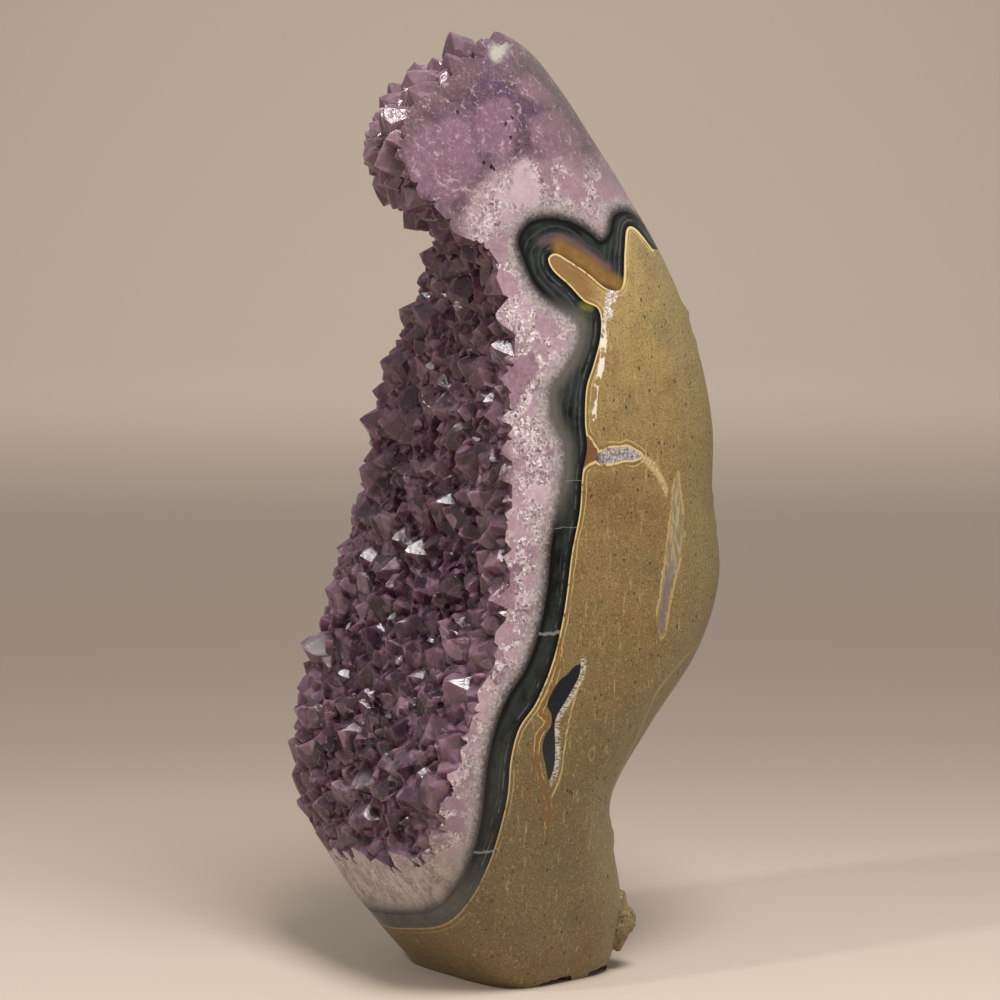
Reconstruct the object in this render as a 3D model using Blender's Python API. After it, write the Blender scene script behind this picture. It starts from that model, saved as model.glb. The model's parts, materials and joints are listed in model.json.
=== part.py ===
"""A free-standing amethyst cluster, sawn from the wall of a geode and polished round its edges.

+Z is up. The druse of crystals faces -Y, the basalt back faces +Y, and the polished side on which
the layers show in section faces +X. The cluster stands on a flat sawn base at Z = 0.

All lengths below are millimetres. An empty named cluster brings the drawing's middle to the origin.
"""
import math
import random

import bmesh
import bpy
from mathutils import Matrix, Vector, noise

MM = 0.001

# The middle of the finished cluster's box, seen from above, in the drawing's own X and Y.
DRAWING_MIDDLE = (1.5, 2.9)

# The saw and the polishing wheel leave one smooth body, given by level sections.
# Each row is height, front, back, far side, near side, squareness of the corners, turn in degrees.
GROUND_SECTIONS = (
    (0, -20, 17, -15, 30, 4.0, 11),
    (8, -27, 19, -20, 34, 3.6, 9),
    (20, -36, 20, -27, 38, 3.4, 6),
    (33, -44, 18, -32, 40, 3.4, 3),
    (46, -54, 18, -36, 41, 3.5, 1),
    (62, -66, 30, -38, 41, 3.6, 0),
    (80, -68, 45, -38, 40, 3.8, 0),
    (98, -66, 52, -38, 39, 3.8, 0),
    (118, -64, 50, -36, 38, 3.8, 0),
    (136, -62, 50, -33, 37, 3.8, 0),
    (156, -60, 46, -28, 35, 3.6, 0),
    (175, -60, 38, -18, 32, 3.4, 0),
    (192, -62, 28, -12, 29, 3.2, 0),
    (207, -64, 19, -15, 26, 3.0, 0),
    (220, -62, 11, -15, 22, 2.8, 0),
    (230, -56, 2, -9, 17, 2.6, 0),
    (237, -46, -12, -2, 11, 2.4, 0),
)

# The quartz that the crystals stand on, in the same terms. It runs out past the ground body at the
# back and at both sides, and its front hollows and then swells forward into the round knob.
ROOT_SECTIONS = (
    (15, -42, 60, -60, 62, 4.0, 0),
    (46, -40, 60, -60, 62, 4.0, 1),
    (60, -38, 60, -60, 62, 4.0, 3),
    (78, -31, 60, -60, 62, 4.0, 5),
    (95, -25, 60, -60, 62, 4.0, 5),
    (115, -21, 60, -55, 62, 4.0, 2),
    (138, -19, 60, -50, 62, 3.8, 0),
    (155, -16.5, 60, -45, 62, 3.6, -2),
    (168, -14.5, 60, -36, 62, 3.4, -4),
    (177, -16, 60, -30, 62, 3.2, -8),
    (184, -19, 60, -25, 62, 3.0, -18),
    (191, -28, 60, -25, 62, 3.0, -22),
    (198, -35, 60, -26, 62, 3.0, -25),
    (205, -38, 60, -27, 62, 3.0, -30),
    (212, -35, 60, -26, 62, 3.0, -32),
    (218, -29.5, 60, -23, 62, 2.8, -31),
    (224, -22, 60, -18, 62, 2.6, -23),
    (228, -14, 60, -12, 62, 2.4, -12),
    (231, -6, 60, -4, 62, 2.2, -6),
)

# Where quartz meets agate on the near side, as Y and Z, from the upper back edge down to the base.
QUARTZ_BORDER = (
    (32, 186), (25, 192), (19.5, 193.5), (15.5, 192), (13.5, 188), (10.5, 186), (7, 188.5),
    (2, 191), (-4, 192), (-9.5, 191), (-13, 187), (-12, 182), (-9.5, 176), (-5, 171.5), (0, 168.5),
    (2.8, 165.5), (1.5, 160), (-3, 154), (-6.5, 150), (-6.5, 143), (-3.5, 137), (-3.5, 130),
    (-5.5, 122), (-8, 113), (-9.5, 102), (-12, 92), (-16, 83), (-21.5, 76), (-25, 69), (-27.5, 60),
    (-29, 48), (-31, 38), (-33.5, 28), (-35.5, 20), (-37.5, 8),
)

# Where agate meets basalt, from the upper back edge down to the base, with the basalt finger that
# juts into the agate like a stalactite.
BASALT_BORDER = (
    (28, 184), (23, 189), (19.5, 189), (17.5, 183), (15.5, 174.5), (11, 174.2), (5.5, 178.3),
    (0.5, 181.5), (-3, 183.3), (-5.2, 182), (-4, 179), (0, 175.4), (4, 171.3), (8, 169), (8, 163),
    (5.5, 156), (3, 150), (2.2, 142), (2.5, 135.5), (1, 129), (0, 120), (-2.5, 110), (-4.2, 100),
    (-6, 92), (-9, 83), (-13.5, 74.5), (-18.5, 68.5), (-21, 61), (-22, 52), (-25, 41), (-28.5, 31),
    (-31, 24), (-33, 15), (-34, 6),
)

# Far past the cluster on every side, for the parts of an outline that cut nothing.
OUTSIDE = 110.0
ABOVE_ALL = 260.0
BELOW_ALL = -27.5

# The layers dip towards the far side: how far they move in Y and Z over the length of a cutter.
LAYER_LENGTH = 110.0
LAYER_DIP = (3.0, -17.0)
LAYER_NEAR_X = 50.0

# Touching pieces keep this much air between them.
JOINT_GAP = 0.3

# The weathered back: its lumps as fineness and height, how far it sinks in all, how squarely a place
# faces back where the lumps start and where they are full, and the heights between which it has them.
BACK_LUMPS = ((0.07, 2.2), (0.19, 1.1))
BACK_SINK = 0.4
BACK_FACING = (0.35, 0.7)
BACK_SIDEWAYS_LOSS = 0.6
BACK_HEIGHTS = (4.0, 185.0)

# The crystals: spacing, radius across the corners, depth of the root and height of the tip.
CRYSTAL_SEED = 11
CRYSTAL_SPACING = 8.4
CRYSTAL_RADIUS = (4.8, 6.8)
CRYSTAL_ROOT_DEPTH = 9.0
CRYSTAL_TIP_HEIGHT = (3.6, 6.6)
CRYSTAL_LEAN = 0.42
CRYSTAL_LOWEST = 24.0
CRYSTAL_BELOW_TOP = 0.5
CRYSTAL_FARTHEST_BACK = 6.0
CRYSTAL_OUTSIDE_GROUND = 3.0
CRYSTAL_SMALL_BIAS = 1.4
CRYSTAL_TRIES = 30000

# Two crystals with this much more than their radii between them can't touch.
CRYSTAL_REACH = 4.5

# The six end faces: their slope, how much smaller every second one is, and how much each one differs.
POINT_FACE_ANGLE = math.radians(38.2)
POINT_FACE_SETBACK = (0.0, 0.9)
POINT_FACE_SPREAD = (0.0, 0.3)

# Large crystals that stand out on the knob: place, direction, radius and height of the tip.
LANDMARK_CRYSTALS = (
    ((9, -15, 226), (-0.25, -0.4, 0.88), 5.5, 8.6),
    ((2, -12, 220), (-0.4, -0.6, 0.7), 4.5, 7.0),
    ((6, -30, 197), (-0.35, -0.95, -0.05), 5.0, 8.5),
    ((29, -16, 182), (-0.1, -0.9, -0.2), 4.2, 6.0),
)

# A broken stub of rock low on the back, and chips out of the back edge of the base. Each row is a
# place, then a size along X, Y and Z.
STUB = ((23, 17, 12.5), (6.5, 6.5, 8))
CHIPS = (((29, -2, -0.6), (4, 6, 2.6)), ((24.5, 11, -0.4), (5, 5.5, 3.2)), ((13, 21, -0.6), (7, 5, 2.6)))
STONE_FINENESS = 1.7
STONE_ROUGHNESS = 0.28

MATRIX_COLOUR = (0.20, 0.15, 0.07, 1.0)
AGATE_COLOUR = (0.035, 0.05, 0.05, 1.0)
AMETHYST_COLOUR = (0.16, 0.07, 0.20, 1.0)


def remove_everything():
    for old in list(bpy.data.objects):
        bpy.data.objects.remove(old, do_unlink=True)


def make_collection(name):
    collection = bpy.data.collections.new(name)
    bpy.context.scene.collection.children.link(collection)
    return collection


def make_material(name, colour, roughness):
    material = bpy.data.materials.new(name)
    material.use_nodes = True
    shader = material.node_tree.nodes["Principled BSDF"]
    shader.inputs["Base Color"].default_value = colour
    shader.inputs["Roughness"].default_value = roughness
    shader.inputs["Metallic"].default_value = 0.0
    return material


def add_object(name, data, collection, cluster):
    made = bpy.data.objects.new(name, data)
    made.parent = cluster
    collection.objects.link(made)
    return made


def mesh_from(name, bm):
    """A mesh in metres from a bmesh drawn in millimetres."""
    bmesh.ops.recalc_face_normals(bm, faces=bm.faces)
    bmesh.ops.scale(bm, vec=(MM, MM, MM), verts=bm.verts)
    mesh = bpy.data.meshes.new(name)
    bm.to_mesh(mesh)
    bm.free()
    return mesh


def as_cutter(made):
    made.hide_render = True
    made.display_type = "WIRE"
    return made


def section_value(sections, column, height):
    """One column of a table of sections at any height, on a smooth curve through its rows."""
    rows = len(sections)
    low = max(i for i in range(rows - 1) if sections[i][0] <= height or i == 0)

    def slope(i):
        before, after = max(i - 1, 0), min(i + 1, rows - 1)
        rise = sections[after][column] - sections[before][column]
        return rise / (sections[after][0] - sections[before][0])

    span = sections[low + 1][0] - sections[low][0]
    t = min(max((height - sections[low][0]) / span, 0.0), 1.0)
    start, end = sections[low][column], sections[low + 1][column]
    value = (2 * t**3 - 3 * t**2 + 1) * start + (3 * t**2 - 2 * t**3) * end
    value += (t**3 - 2 * t**2 + t) * span * slope(low)
    return value + (t**3 - t**2) * span * slope(low + 1)


def section_point(sections, height, angle):
    """A point on the rounded outline of a level section, at an angle from +X."""
    front, back, far, near, square, turn = (section_value(sections, c, height) for c in range(1, 7))
    across, along = math.cos(angle), math.sin(angle)
    x = math.copysign(abs(across) ** (2 / square), across) * (near - far) / 2
    y = math.copysign(abs(along) ** (2 / square), along) * (back - front) / 2
    turned = Matrix.Rotation(math.radians(turn), 3, "Z") @ Vector((x, y, 0))
    return turned + Vector(((near + far) / 2, (back + front) / 2, height))


def loft(sections, levels, sides):
    """A closed body through level sections, as a bmesh of rings joined one to the next."""
    bottom, top = sections[0][0], sections[-1][0]
    bm = bmesh.new()
    rings = []
    for level in range(levels + 1):
        height = bottom + (top - bottom) * level / levels
        ring = []
        for side in range(sides):
            point = section_point(sections, height, math.tau * (side + 0.5) / sides)
            ring.append(bm.verts.new(point))
        rings.append(ring)
    for low, high in zip(rings, rings[1:]):
        for side in range(sides):
            after = (side + 1) % sides
            bm.faces.new((low[side], low[after], high[after], high[side]))
    bm.faces.new(reversed(rings[0]))
    bm.faces.new(rings[-1])
    return bm


def roughen_back(bm):
    """The back was never polished: it is a weathered skin of low lumps and hollows."""
    bm.normal_update()
    lowest, highest = BACK_HEIGHTS
    starts, full = BACK_FACING
    for vert in bm.verts:
        facing = vert.normal.y - BACK_SIDEWAYS_LOSS * abs(vert.normal.x)
        if facing < starts or not lowest < vert.co.z < highest:
            continue
        weather = min((facing - starts) / (full - starts), 1.0)
        lump = sum(noise.noise(vert.co * fineness) * height for fineness, height in BACK_LUMPS)
        vert.co += vert.normal * (lump - BACK_SINK) * weather


def broken_stone(name, place, size):
    """A rough lump, for rock that stands out or for a chip that is gone."""
    bm = bmesh.new()
    bmesh.ops.create_icosphere(bm, subdivisions=2, radius=1.0)
    for vert in bm.verts:
        swell = 1.0 + STONE_ROUGHNESS * noise.noise(vert.co * STONE_FINENESS + Vector(place))
        vert.co = Vector([c * s * swell + p for c, s, p in zip(vert.co, size, place)])
    return mesh_from(name, bm)


def layer_cutter(name, border, closing, collection, cluster):
    """A slab with a flat outline in Y and Z, run through the cluster along X on the layers' dip."""
    curve = bpy.data.curves.new(name, "CURVE")
    curve.dimensions = "2D"
    curve.fill_mode = "BOTH"
    curve.extrude = LAYER_LENGTH / 2 * MM
    curve.resolution_u = 1
    outline = list(border) + list(closing)
    spline = curve.splines.new("POLY")
    spline.points.add(len(outline) - 1)
    for point, (y, z) in zip(spline.points, outline):
        point.co = (y * MM, z * MM, 0, 1)
    spline.use_cyclic_u = True

    holder = bpy.data.objects.new(name + "_outline", curve)
    collection.objects.link(holder)
    mesh = bpy.data.meshes.new_from_object(holder.evaluated_get(bpy.context.evaluated_depsgraph_get()))
    bpy.data.objects.remove(holder, do_unlink=True)

    bm = bmesh.new()
    bm.from_mesh(mesh)
    bpy.data.meshes.remove(mesh)
    bmesh.ops.remove_doubles(bm, verts=bm.verts, dist=0.01 * MM)
    middle = (LAYER_NEAR_X - LAYER_LENGTH / 2) * MM
    for vert in bm.verts:
        y, z, x = vert.co
        depth = 0.5 - x / (LAYER_LENGTH * MM)
        dip_y, dip_z = (depth * step * MM for step in LAYER_DIP)
        vert.co = (middle + x, y + dip_y, z + dip_z)
    bmesh.ops.recalc_face_normals(bm, faces=bm.faces)
    if bm.calc_volume(signed=True) < 0:
        bmesh.ops.reverse_faces(bm, faces=bm.faces)
    slab = bpy.data.meshes.new(name)
    bm.to_mesh(slab)
    bm.free()
    return as_cutter(add_object(name, slab, collection, cluster))


def shifted_border(border, offset):
    """The same border moved sideways by an offset, square to itself at each point."""
    moved = []
    last = len(border) - 1
    for i, (y, z) in enumerate(border):
        before, after = border[max(i - 1, 0)], border[min(i + 1, last)]
        along = Vector((after[0] - before[0], after[1] - before[1])).normalized()
        moved.append((y - along.y * offset, z + along.x * offset))
    return moved


def cut(made, name, cutter, operation, solver="EXACT"):
    boolean = made.modifiers.new(name, "BOOLEAN")
    boolean.operation = operation
    boolean.object = cutter
    boolean.solver = solver
    return boolean


def evaluated_mesh(made):
    return bpy.data.meshes.new_from_object(made.evaluated_get(bpy.context.evaluated_depsgraph_get()))


def largest_shell(mesh):
    """Fills pockets sealed in between crystals, and drops splinters that a cut has freed."""
    bm = bmesh.new()
    bm.from_mesh(mesh)
    waiting = set(bm.faces)
    shells = []
    while waiting:
        shell = {waiting.pop()}
        edge_of_search = list(shell)
        while edge_of_search:
            face = edge_of_search.pop()
            for edge in face.edges:
                for other in edge.link_faces:
                    if other in waiting:
                        waiting.remove(other)
                        shell.add(other)
                        edge_of_search.append(other)
        shells.append(shell)
    shells.sort(key=lambda shell: sum(face.calc_area() for face in shell), reverse=True)
    spare = [face for shell in shells[1:] for face in shell]
    bmesh.ops.delete(bm, geom=spare, context="FACES")
    bm.to_mesh(mesh)
    bm.free()
    return mesh


def root_normal(height, angle):
    """The way a crystal grows: square to the quartz surface."""
    turn_step = 0.02
    height_step = 0.8
    here = section_point(ROOT_SECTIONS, height, angle)
    beside = section_point(ROOT_SECTIONS, height, angle + turn_step) - here
    above = section_point(ROOT_SECTIONS, min(height + height_step, ROOT_SECTIONS[-1][0]), angle) - here
    return beside.cross(above).normalized()


def inside_ground(point, margin):
    """Whether a point is in the ground body, or within a margin of it."""
    height = point.z
    if height > GROUND_SECTIONS[-1][0] + margin:
        return False
    front, back, far, near, square, turn = (section_value(GROUND_SECTIONS, c, height) for c in range(1, 7))
    middle = Vector(((near + far) / 2, (back + front) / 2, height))
    local = Matrix.Rotation(-math.radians(turn), 3, "Z") @ (point - middle)
    across = abs(local.x) / ((near - far) / 2 + margin)
    along = abs(local.y) / ((back - front) / 2 + margin)
    return across**square + along**square < 1.0


def scatter_crystals():
    """Places, directions and sizes of the crystals, spread evenly over the free quartz surface."""
    pick = random.Random(CRYSTAL_SEED)
    crystals = []
    for place, direction, radius, tip in LANDMARK_CRYSTALS:
        setbacks = [pick.uniform(*POINT_FACE_SPREAD) for _ in range(6)]
        crystals.append({"place": Vector(place), "direction": Vector(direction).normalized(),
                         "radius": radius, "twist": pick.uniform(0, 1), "tip": tip, "setbacks": setbacks})
    top = ROOT_SECTIONS[-1][0]
    for _ in range(CRYSTAL_TRIES):
        height = pick.uniform(CRYSTAL_LOWEST, top - CRYSTAL_BELOW_TOP)
        across = pick.uniform(-1, 1)
        lean = Vector((pick.gauss(0, 1), pick.gauss(0, 1), pick.gauss(0, 1))) * CRYSTAL_LEAN / 2
        size = pick.random()
        twist = pick.uniform(0, math.tau)
        tip = pick.uniform(*CRYSTAL_TIP_HEIGHT)
        setbacks = [pick.uniform(*POINT_FACE_SETBACK) * (face % 2) + pick.uniform(*POINT_FACE_SPREAD)
                    for face in range(6)]
        square = section_value(ROOT_SECTIONS, 5, height)
        angle = -math.acos(math.copysign(abs(across) ** (square / 2), across))
        place = section_point(ROOT_SECTIONS, height, angle)
        if place.y > CRYSTAL_FARTHEST_BACK or not inside_ground(place, CRYSTAL_OUTSIDE_GROUND):
            continue
        if any((place - other["place"]).length < CRYSTAL_SPACING for other in crystals):
            continue
        radius = CRYSTAL_RADIUS[0] + (CRYSTAL_RADIUS[1] - CRYSTAL_RADIUS[0]) * size**CRYSTAL_SMALL_BIAS
        direction = (root_normal(height, angle) + lean).normalized()
        crystals.append({"place": place, "direction": direction, "radius": radius, "twist": twist,
                         "tip": tip, "setbacks": setbacks})
    return crystals


def grow_crystal(bm, crystal):
    """A hexagonal prism whose end is sliced by six sloping faces, three of them larger."""
    radius = crystal["radius"]
    length = CRYSTAL_ROOT_DEPTH + crystal["tip"] + 1.0
    stone = bmesh.new()
    bmesh.ops.create_cone(stone, cap_ends=True, segments=6, radius1=radius, radius2=radius, depth=length)
    bmesh.ops.translate(stone, verts=stone.verts, vec=(0, 0, length / 2 - CRYSTAL_ROOT_DEPTH))
    for face, setback in enumerate(crystal["setbacks"]):
        angle = math.pi / 3 * face + math.pi / 6
        outward = Vector((math.cos(angle), math.sin(angle), 0)) * math.cos(POINT_FACE_ANGLE)
        outward.z = math.sin(POINT_FACE_ANGLE)
        start = Vector((0, 0, crystal["tip"] + setback))
        everything = stone.verts[:] + stone.edges[:] + stone.faces[:]
        sliced = bmesh.ops.bisect_plane(stone, geom=everything, plane_co=start, plane_no=outward,
                                        clear_outer=True)
        rim = [item for item in sliced["geom_cut"] if isinstance(item, bmesh.types.BMEdge)]
        if rim:
            bmesh.ops.contextual_create(stone, geom=rim)
    bmesh.ops.remove_doubles(stone, verts=stone.verts, dist=0.02)
    turn = Vector((0, 0, 1)).rotation_difference(crystal["direction"]).to_matrix().to_4x4()
    twist = Matrix.Rotation(crystal["twist"], 4, "Z")
    bmesh.ops.transform(stone, matrix=Matrix.Translation(crystal["place"]) @ turn @ twist, verts=stone.verts)
    finished = bpy.data.meshes.new("crystal")
    stone.to_mesh(finished)
    stone.free()
    bm.from_mesh(finished)
    bpy.data.meshes.remove(finished)


def sort_apart(crystals):
    """Crystals dealt into sets, so that no two in one set can touch."""
    sets = []
    for crystal in crystals:
        reach = crystal["radius"] + CRYSTAL_REACH
        for members in sets:
            if all((crystal["place"] - other["place"]).length > reach + other["radius"] + CRYSTAL_REACH
                   for other in members):
                members.append(crystal)
                break
        else:
            sets.append([crystal])
    return sets


def make_cluster():
    remove_everything()
    pieces = make_collection("amethyst_cluster")
    cutters = make_collection("amethyst_cluster_cutters")
    growth = make_collection("amethyst_cluster_growth")
    cluster = bpy.data.objects.new("cluster", None)
    cluster.location = (-DRAWING_MIDDLE[0] * MM, -DRAWING_MIDDLE[1] * MM, 0)
    pieces.objects.link(cluster)

    ground = loft(GROUND_SECTIONS, levels=27, sides=40)
    roughen_back(ground)
    ground_mesh = mesh_from("ground_form", ground)
    ground_cutter = as_cutter(add_object("ground_form", ground_mesh, cutters, cluster))

    behind = ((OUTSIDE, BELOW_ALL), (OUTSIDE, BASALT_BORDER[0][1]))
    before = ((-OUTSIDE, 0), (-OUTSIDE, ABOVE_ALL), (OUTSIDE, ABOVE_ALL), (OUTSIDE, QUARTZ_BORDER[0][1]))
    agate_edge = shifted_border(QUARTZ_BORDER, JOINT_GAP)
    basalt_edge = shifted_border(BASALT_BORDER, JOINT_GAP)
    quartz_side = layer_cutter("quartz_side", QUARTZ_BORDER, before, cutters, cluster)
    agate_side = layer_cutter("agate_side", agate_edge, behind, cutters, cluster)
    inner_side = layer_cutter("inner_side", BASALT_BORDER, behind, cutters, cluster)
    basalt_side = layer_cutter("basalt_side", basalt_edge, behind, cutters, cluster)

    basalt = add_object("basalt_matrix", ground_mesh.copy(), pieces, cluster)
    basalt.data.materials.append(make_material("basalt", MATRIX_COLOUR, 0.5))
    cut(basalt, "basalt_outline", basalt_side, "INTERSECT")
    stub = as_cutter(add_object("stub", broken_stone("stub", *STUB), cutters, cluster))
    cut(basalt, "stub", stub, "UNION")
    for index, (place, size) in enumerate(CHIPS):
        name = "chip_%d" % (index + 1)
        chip = as_cutter(add_object(name, broken_stone(name, place, size), cutters, cluster))
        cut(basalt, name, chip, "DIFFERENCE")

    agate = add_object("agate_band", ground_mesh.copy(), pieces, cluster)
    agate.data.materials.append(make_material("agate", AGATE_COLOUR, 0.2))
    cut(agate, "agate_outline", agate_side, "INTERSECT")
    cut(agate, "basalt_outline", inner_side, "DIFFERENCE")

    root_mesh = mesh_from("druse", loft(ROOT_SECTIONS, levels=14, sides=24))
    druse = as_cutter(add_object("druse", root_mesh, cutters, cluster))
    scattered = scatter_crystals()
    for index, members in enumerate(sort_apart(scattered)):
        bm = bmesh.new()
        for crystal in members:
            grow_crystal(bm, crystal)
        name = "crystal_set_%d" % (index + 1)
        as_cutter(add_object(name, mesh_from(name, bm), growth, cluster))
    union = cut(druse, "crystals", None, "UNION")
    union.operand_type = "COLLECTION"
    union.collection = growth
    whole = as_cutter(add_object("druse_whole", largest_shell(evaluated_mesh(druse)), cutters, cluster))
    cut(whole, "quartz_outline", quartz_side, "INTERSECT")
    cut(whole, "ground_form", ground_cutter, "INTERSECT", solver="MANIFOLD")
    crystals = add_object("amethyst_crystals", largest_shell(evaluated_mesh(whole)), pieces, cluster)
    crystals.data.materials.clear()
    crystals.data.materials.append(make_material("amethyst", AMETHYST_COLOUR, 0.1))
    print("crystals", len(scattered), "in sets", len(growth.objects))


make_cluster()
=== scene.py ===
# %% [markdown]
# # A polished amethyst cluster
#
# A piece of geode wall: its base is sawn flat, its edges are ground and polished, and its front is a druse of
# violet quartz points. The polished side shows three layers: pinkish quartz, a near-black band of agate and
# olive brown basalt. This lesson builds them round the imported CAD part, which gives the frame, the size and
# the collision.

import json
import math
import random

import bpy
import numpy as np
from mathutils import Matrix, Vector, noise

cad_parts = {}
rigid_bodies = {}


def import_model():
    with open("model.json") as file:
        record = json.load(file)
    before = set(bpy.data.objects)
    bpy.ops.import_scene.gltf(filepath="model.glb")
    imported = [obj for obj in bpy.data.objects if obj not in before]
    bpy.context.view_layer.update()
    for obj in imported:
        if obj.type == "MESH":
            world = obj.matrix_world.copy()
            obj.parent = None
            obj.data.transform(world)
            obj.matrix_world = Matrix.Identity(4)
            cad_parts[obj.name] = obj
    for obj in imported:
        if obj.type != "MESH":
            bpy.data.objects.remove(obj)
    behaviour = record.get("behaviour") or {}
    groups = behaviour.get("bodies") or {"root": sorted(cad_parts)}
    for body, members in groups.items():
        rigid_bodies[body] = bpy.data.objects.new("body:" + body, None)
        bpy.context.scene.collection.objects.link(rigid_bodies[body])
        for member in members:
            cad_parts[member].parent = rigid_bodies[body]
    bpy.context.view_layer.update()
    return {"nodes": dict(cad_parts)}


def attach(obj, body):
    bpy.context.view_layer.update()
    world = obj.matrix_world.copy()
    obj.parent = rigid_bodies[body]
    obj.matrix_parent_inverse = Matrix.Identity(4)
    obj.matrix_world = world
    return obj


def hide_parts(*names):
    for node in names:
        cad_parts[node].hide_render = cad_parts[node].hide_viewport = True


for old in list(bpy.data.objects):
    bpy.data.objects.remove(old, do_unlink=True)
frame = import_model()

print("CAD nodes:", sorted(frame["nodes"]))

# %% [markdown]
# ## Drawing units
#
# The stone is drawn in millimetres, because an agate line is a millimetre or less. The drawing's middle is
# not the frame's origin, so one function turns drawing places into places in the frame.

# %% Drawing units
MM = 0.001
DRAWING_MIDDLE = np.array((1.5, 2.9, 0.0))


def to_frame(points):
    return (np.asarray(points, float) - DRAWING_MIDDLE) * MM


print("The drawing's middle lands at", to_frame(DRAWING_MIDDLE))

# %% [markdown]
# ## The ground body
#
# Saw and polishing wheel leave one smooth body that all three layers end in. It could be sculpted, or lofted
# between outlines. Level sections are used, because the photograph shows the width and depth at any height,
# and a table is easy to correct. Each outline is a superellipse, a rounded box whose corners get squarer as
# one number grows.

# %% Level sections of the ground body and of the quartz root
# Each row is height, front, back, far side, near side, squareness of the corners, turn in degrees.
GROUND_SECTIONS = (
    (0, -20, 17, -15, 30, 4.0, 11),
    (8, -27, 19, -20, 34, 3.6, 9),
    (20, -36, 20, -27, 38, 3.4, 6),
    (33, -44, 18, -32, 40, 3.4, 3),
    (46, -54, 18, -36, 41, 3.5, 1),
    (62, -66, 30, -38, 41, 3.6, 0),
    (80, -68, 45, -38, 40, 3.8, 0),
    (98, -66, 52, -38, 39, 3.8, 0),
    (118, -64, 50, -36, 38, 3.8, 0),
    (136, -62, 50, -33, 37, 3.8, 0),
    (156, -60, 46, -28, 35, 3.6, 0),
    (175, -60, 38, -18, 32, 3.4, 0),
    (192, -62, 28, -12, 29, 3.2, 0),
    (207, -64, 19, -15, 26, 3.0, 0),
    (220, -62, 11, -15, 22, 2.8, 0),
    (230, -56, 2, -9, 17, 2.6, 0),
    (237, -46, -12, -2, 11, 2.4, 0),
)
ROOT_SECTIONS = (
    (15, -42, 60, -60, 62, 4.0, 0),
    (46, -40, 60, -60, 62, 4.0, 1),
    (60, -38, 60, -60, 62, 4.0, 3),
    (78, -31, 60, -60, 62, 4.0, 5),
    (95, -25, 60, -60, 62, 4.0, 5),
    (115, -21, 60, -55, 62, 4.0, 2),
    (138, -19, 60, -50, 62, 3.8, 0),
    (155, -16.5, 60, -45, 62, 3.6, -2),
    (168, -14.5, 60, -36, 62, 3.4, -4),
    (177, -16, 60, -30, 62, 3.2, -8),
    (184, -19, 60, -25, 62, 3.0, -18),
    (191, -28, 60, -25, 62, 3.0, -22),
    (198, -35, 60, -26, 62, 3.0, -25),
    (205, -38, 60, -27, 62, 3.0, -30),
    (212, -35, 60, -26, 62, 3.0, -32),
    (218, -29.5, 60, -23, 62, 2.8, -31),
    (224, -22, 60, -18, 62, 2.6, -23),
    (228, -14, 60, -12, 62, 2.4, -12),
    (231, -6, 60, -4, 62, 2.2, -6),
)


def smooth_rows(sections, heights):
    """Every column of a table of sections at many heights, on smooth curves through its rows."""
    table = np.array(sections, float)
    heights = np.atleast_1d(np.asarray(heights, float))
    level, last = table[:, 0], len(table) - 1
    before = np.maximum(np.arange(last + 1) - 1, 0)
    after = np.minimum(np.arange(last + 1) + 1, last)
    slope = (table[after] - table[before]) / (level[after] - level[before])[:, None]
    low = np.clip(np.searchsorted(level, heights, "right") - 1, 0, last - 1)
    span = (level[low + 1] - level[low])[:, None]
    t = np.clip((heights - level[low])[:, None] / span, 0, 1)
    rows = (2 * t**3 - 3 * t**2 + 1) * table[low] + (3 * t**2 - 2 * t**3) * table[low + 1]
    rows += (t**3 - 2 * t**2 + t) * span * slope[low] + (t**3 - t**2) * span * slope[low + 1]
    return rows[:, 1:]


def outline_points(sections, heights, angles):
    """Points on the rounded outlines: one row of points for each height, one column for each angle."""
    heights = np.atleast_1d(np.asarray(heights, float))
    front, back, far, near, square, turn = smooth_rows(sections, heights).T[:, :, None]
    across, along = np.cos(angles), np.sin(angles)
    x = np.sign(across) * np.abs(across) ** (2 / square) * (near - far) / 2
    y = np.sign(along) * np.abs(along) ** (2 / square) * (back - front) / 2
    turn = np.radians(turn)
    level_x = np.cos(turn) * x - np.sin(turn) * y + (near + far) / 2
    level_y = np.sin(turn) * x + np.cos(turn) * y + (back + front) / 2
    return np.stack([level_x, level_y, heights[:, None] + 0 * x], -1)


print("The ground body is %g mm tall" % GROUND_SECTIONS[-1][0])

# %% [markdown]
# ## A sheet rolled round the sections
#
# A grid primitive is rolled round the outlines like a sheet of clay; its seam is merged and its ends are
# filled. Even quads carry a polish and fine marks better than long thin faces. The columns stand closer
# together on the near side, where the finest lines show.

# %% Rolling a sheet
NEAR_DENSITY = 2.0
NEAR_SHARE = 0.18
RING_STEPS = 1441
WELD = 0.001
SLAB_WELD = 0.01


def deselect():
    bpy.ops.object.select_all(action="DESELECT")


def make_active(piece):
    deselect()
    piece.select_set(True)
    bpy.context.view_layer.objects.active = piece


def get_places(piece):
    flat = np.empty(len(piece.data.vertices) * 3)
    piece.data.vertices.foreach_get("co", flat)
    return flat.reshape(-1, 3)


def set_places(piece, places):
    piece.data.vertices.foreach_set("co", np.asarray(places, float).ravel())
    piece.data.update()


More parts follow.
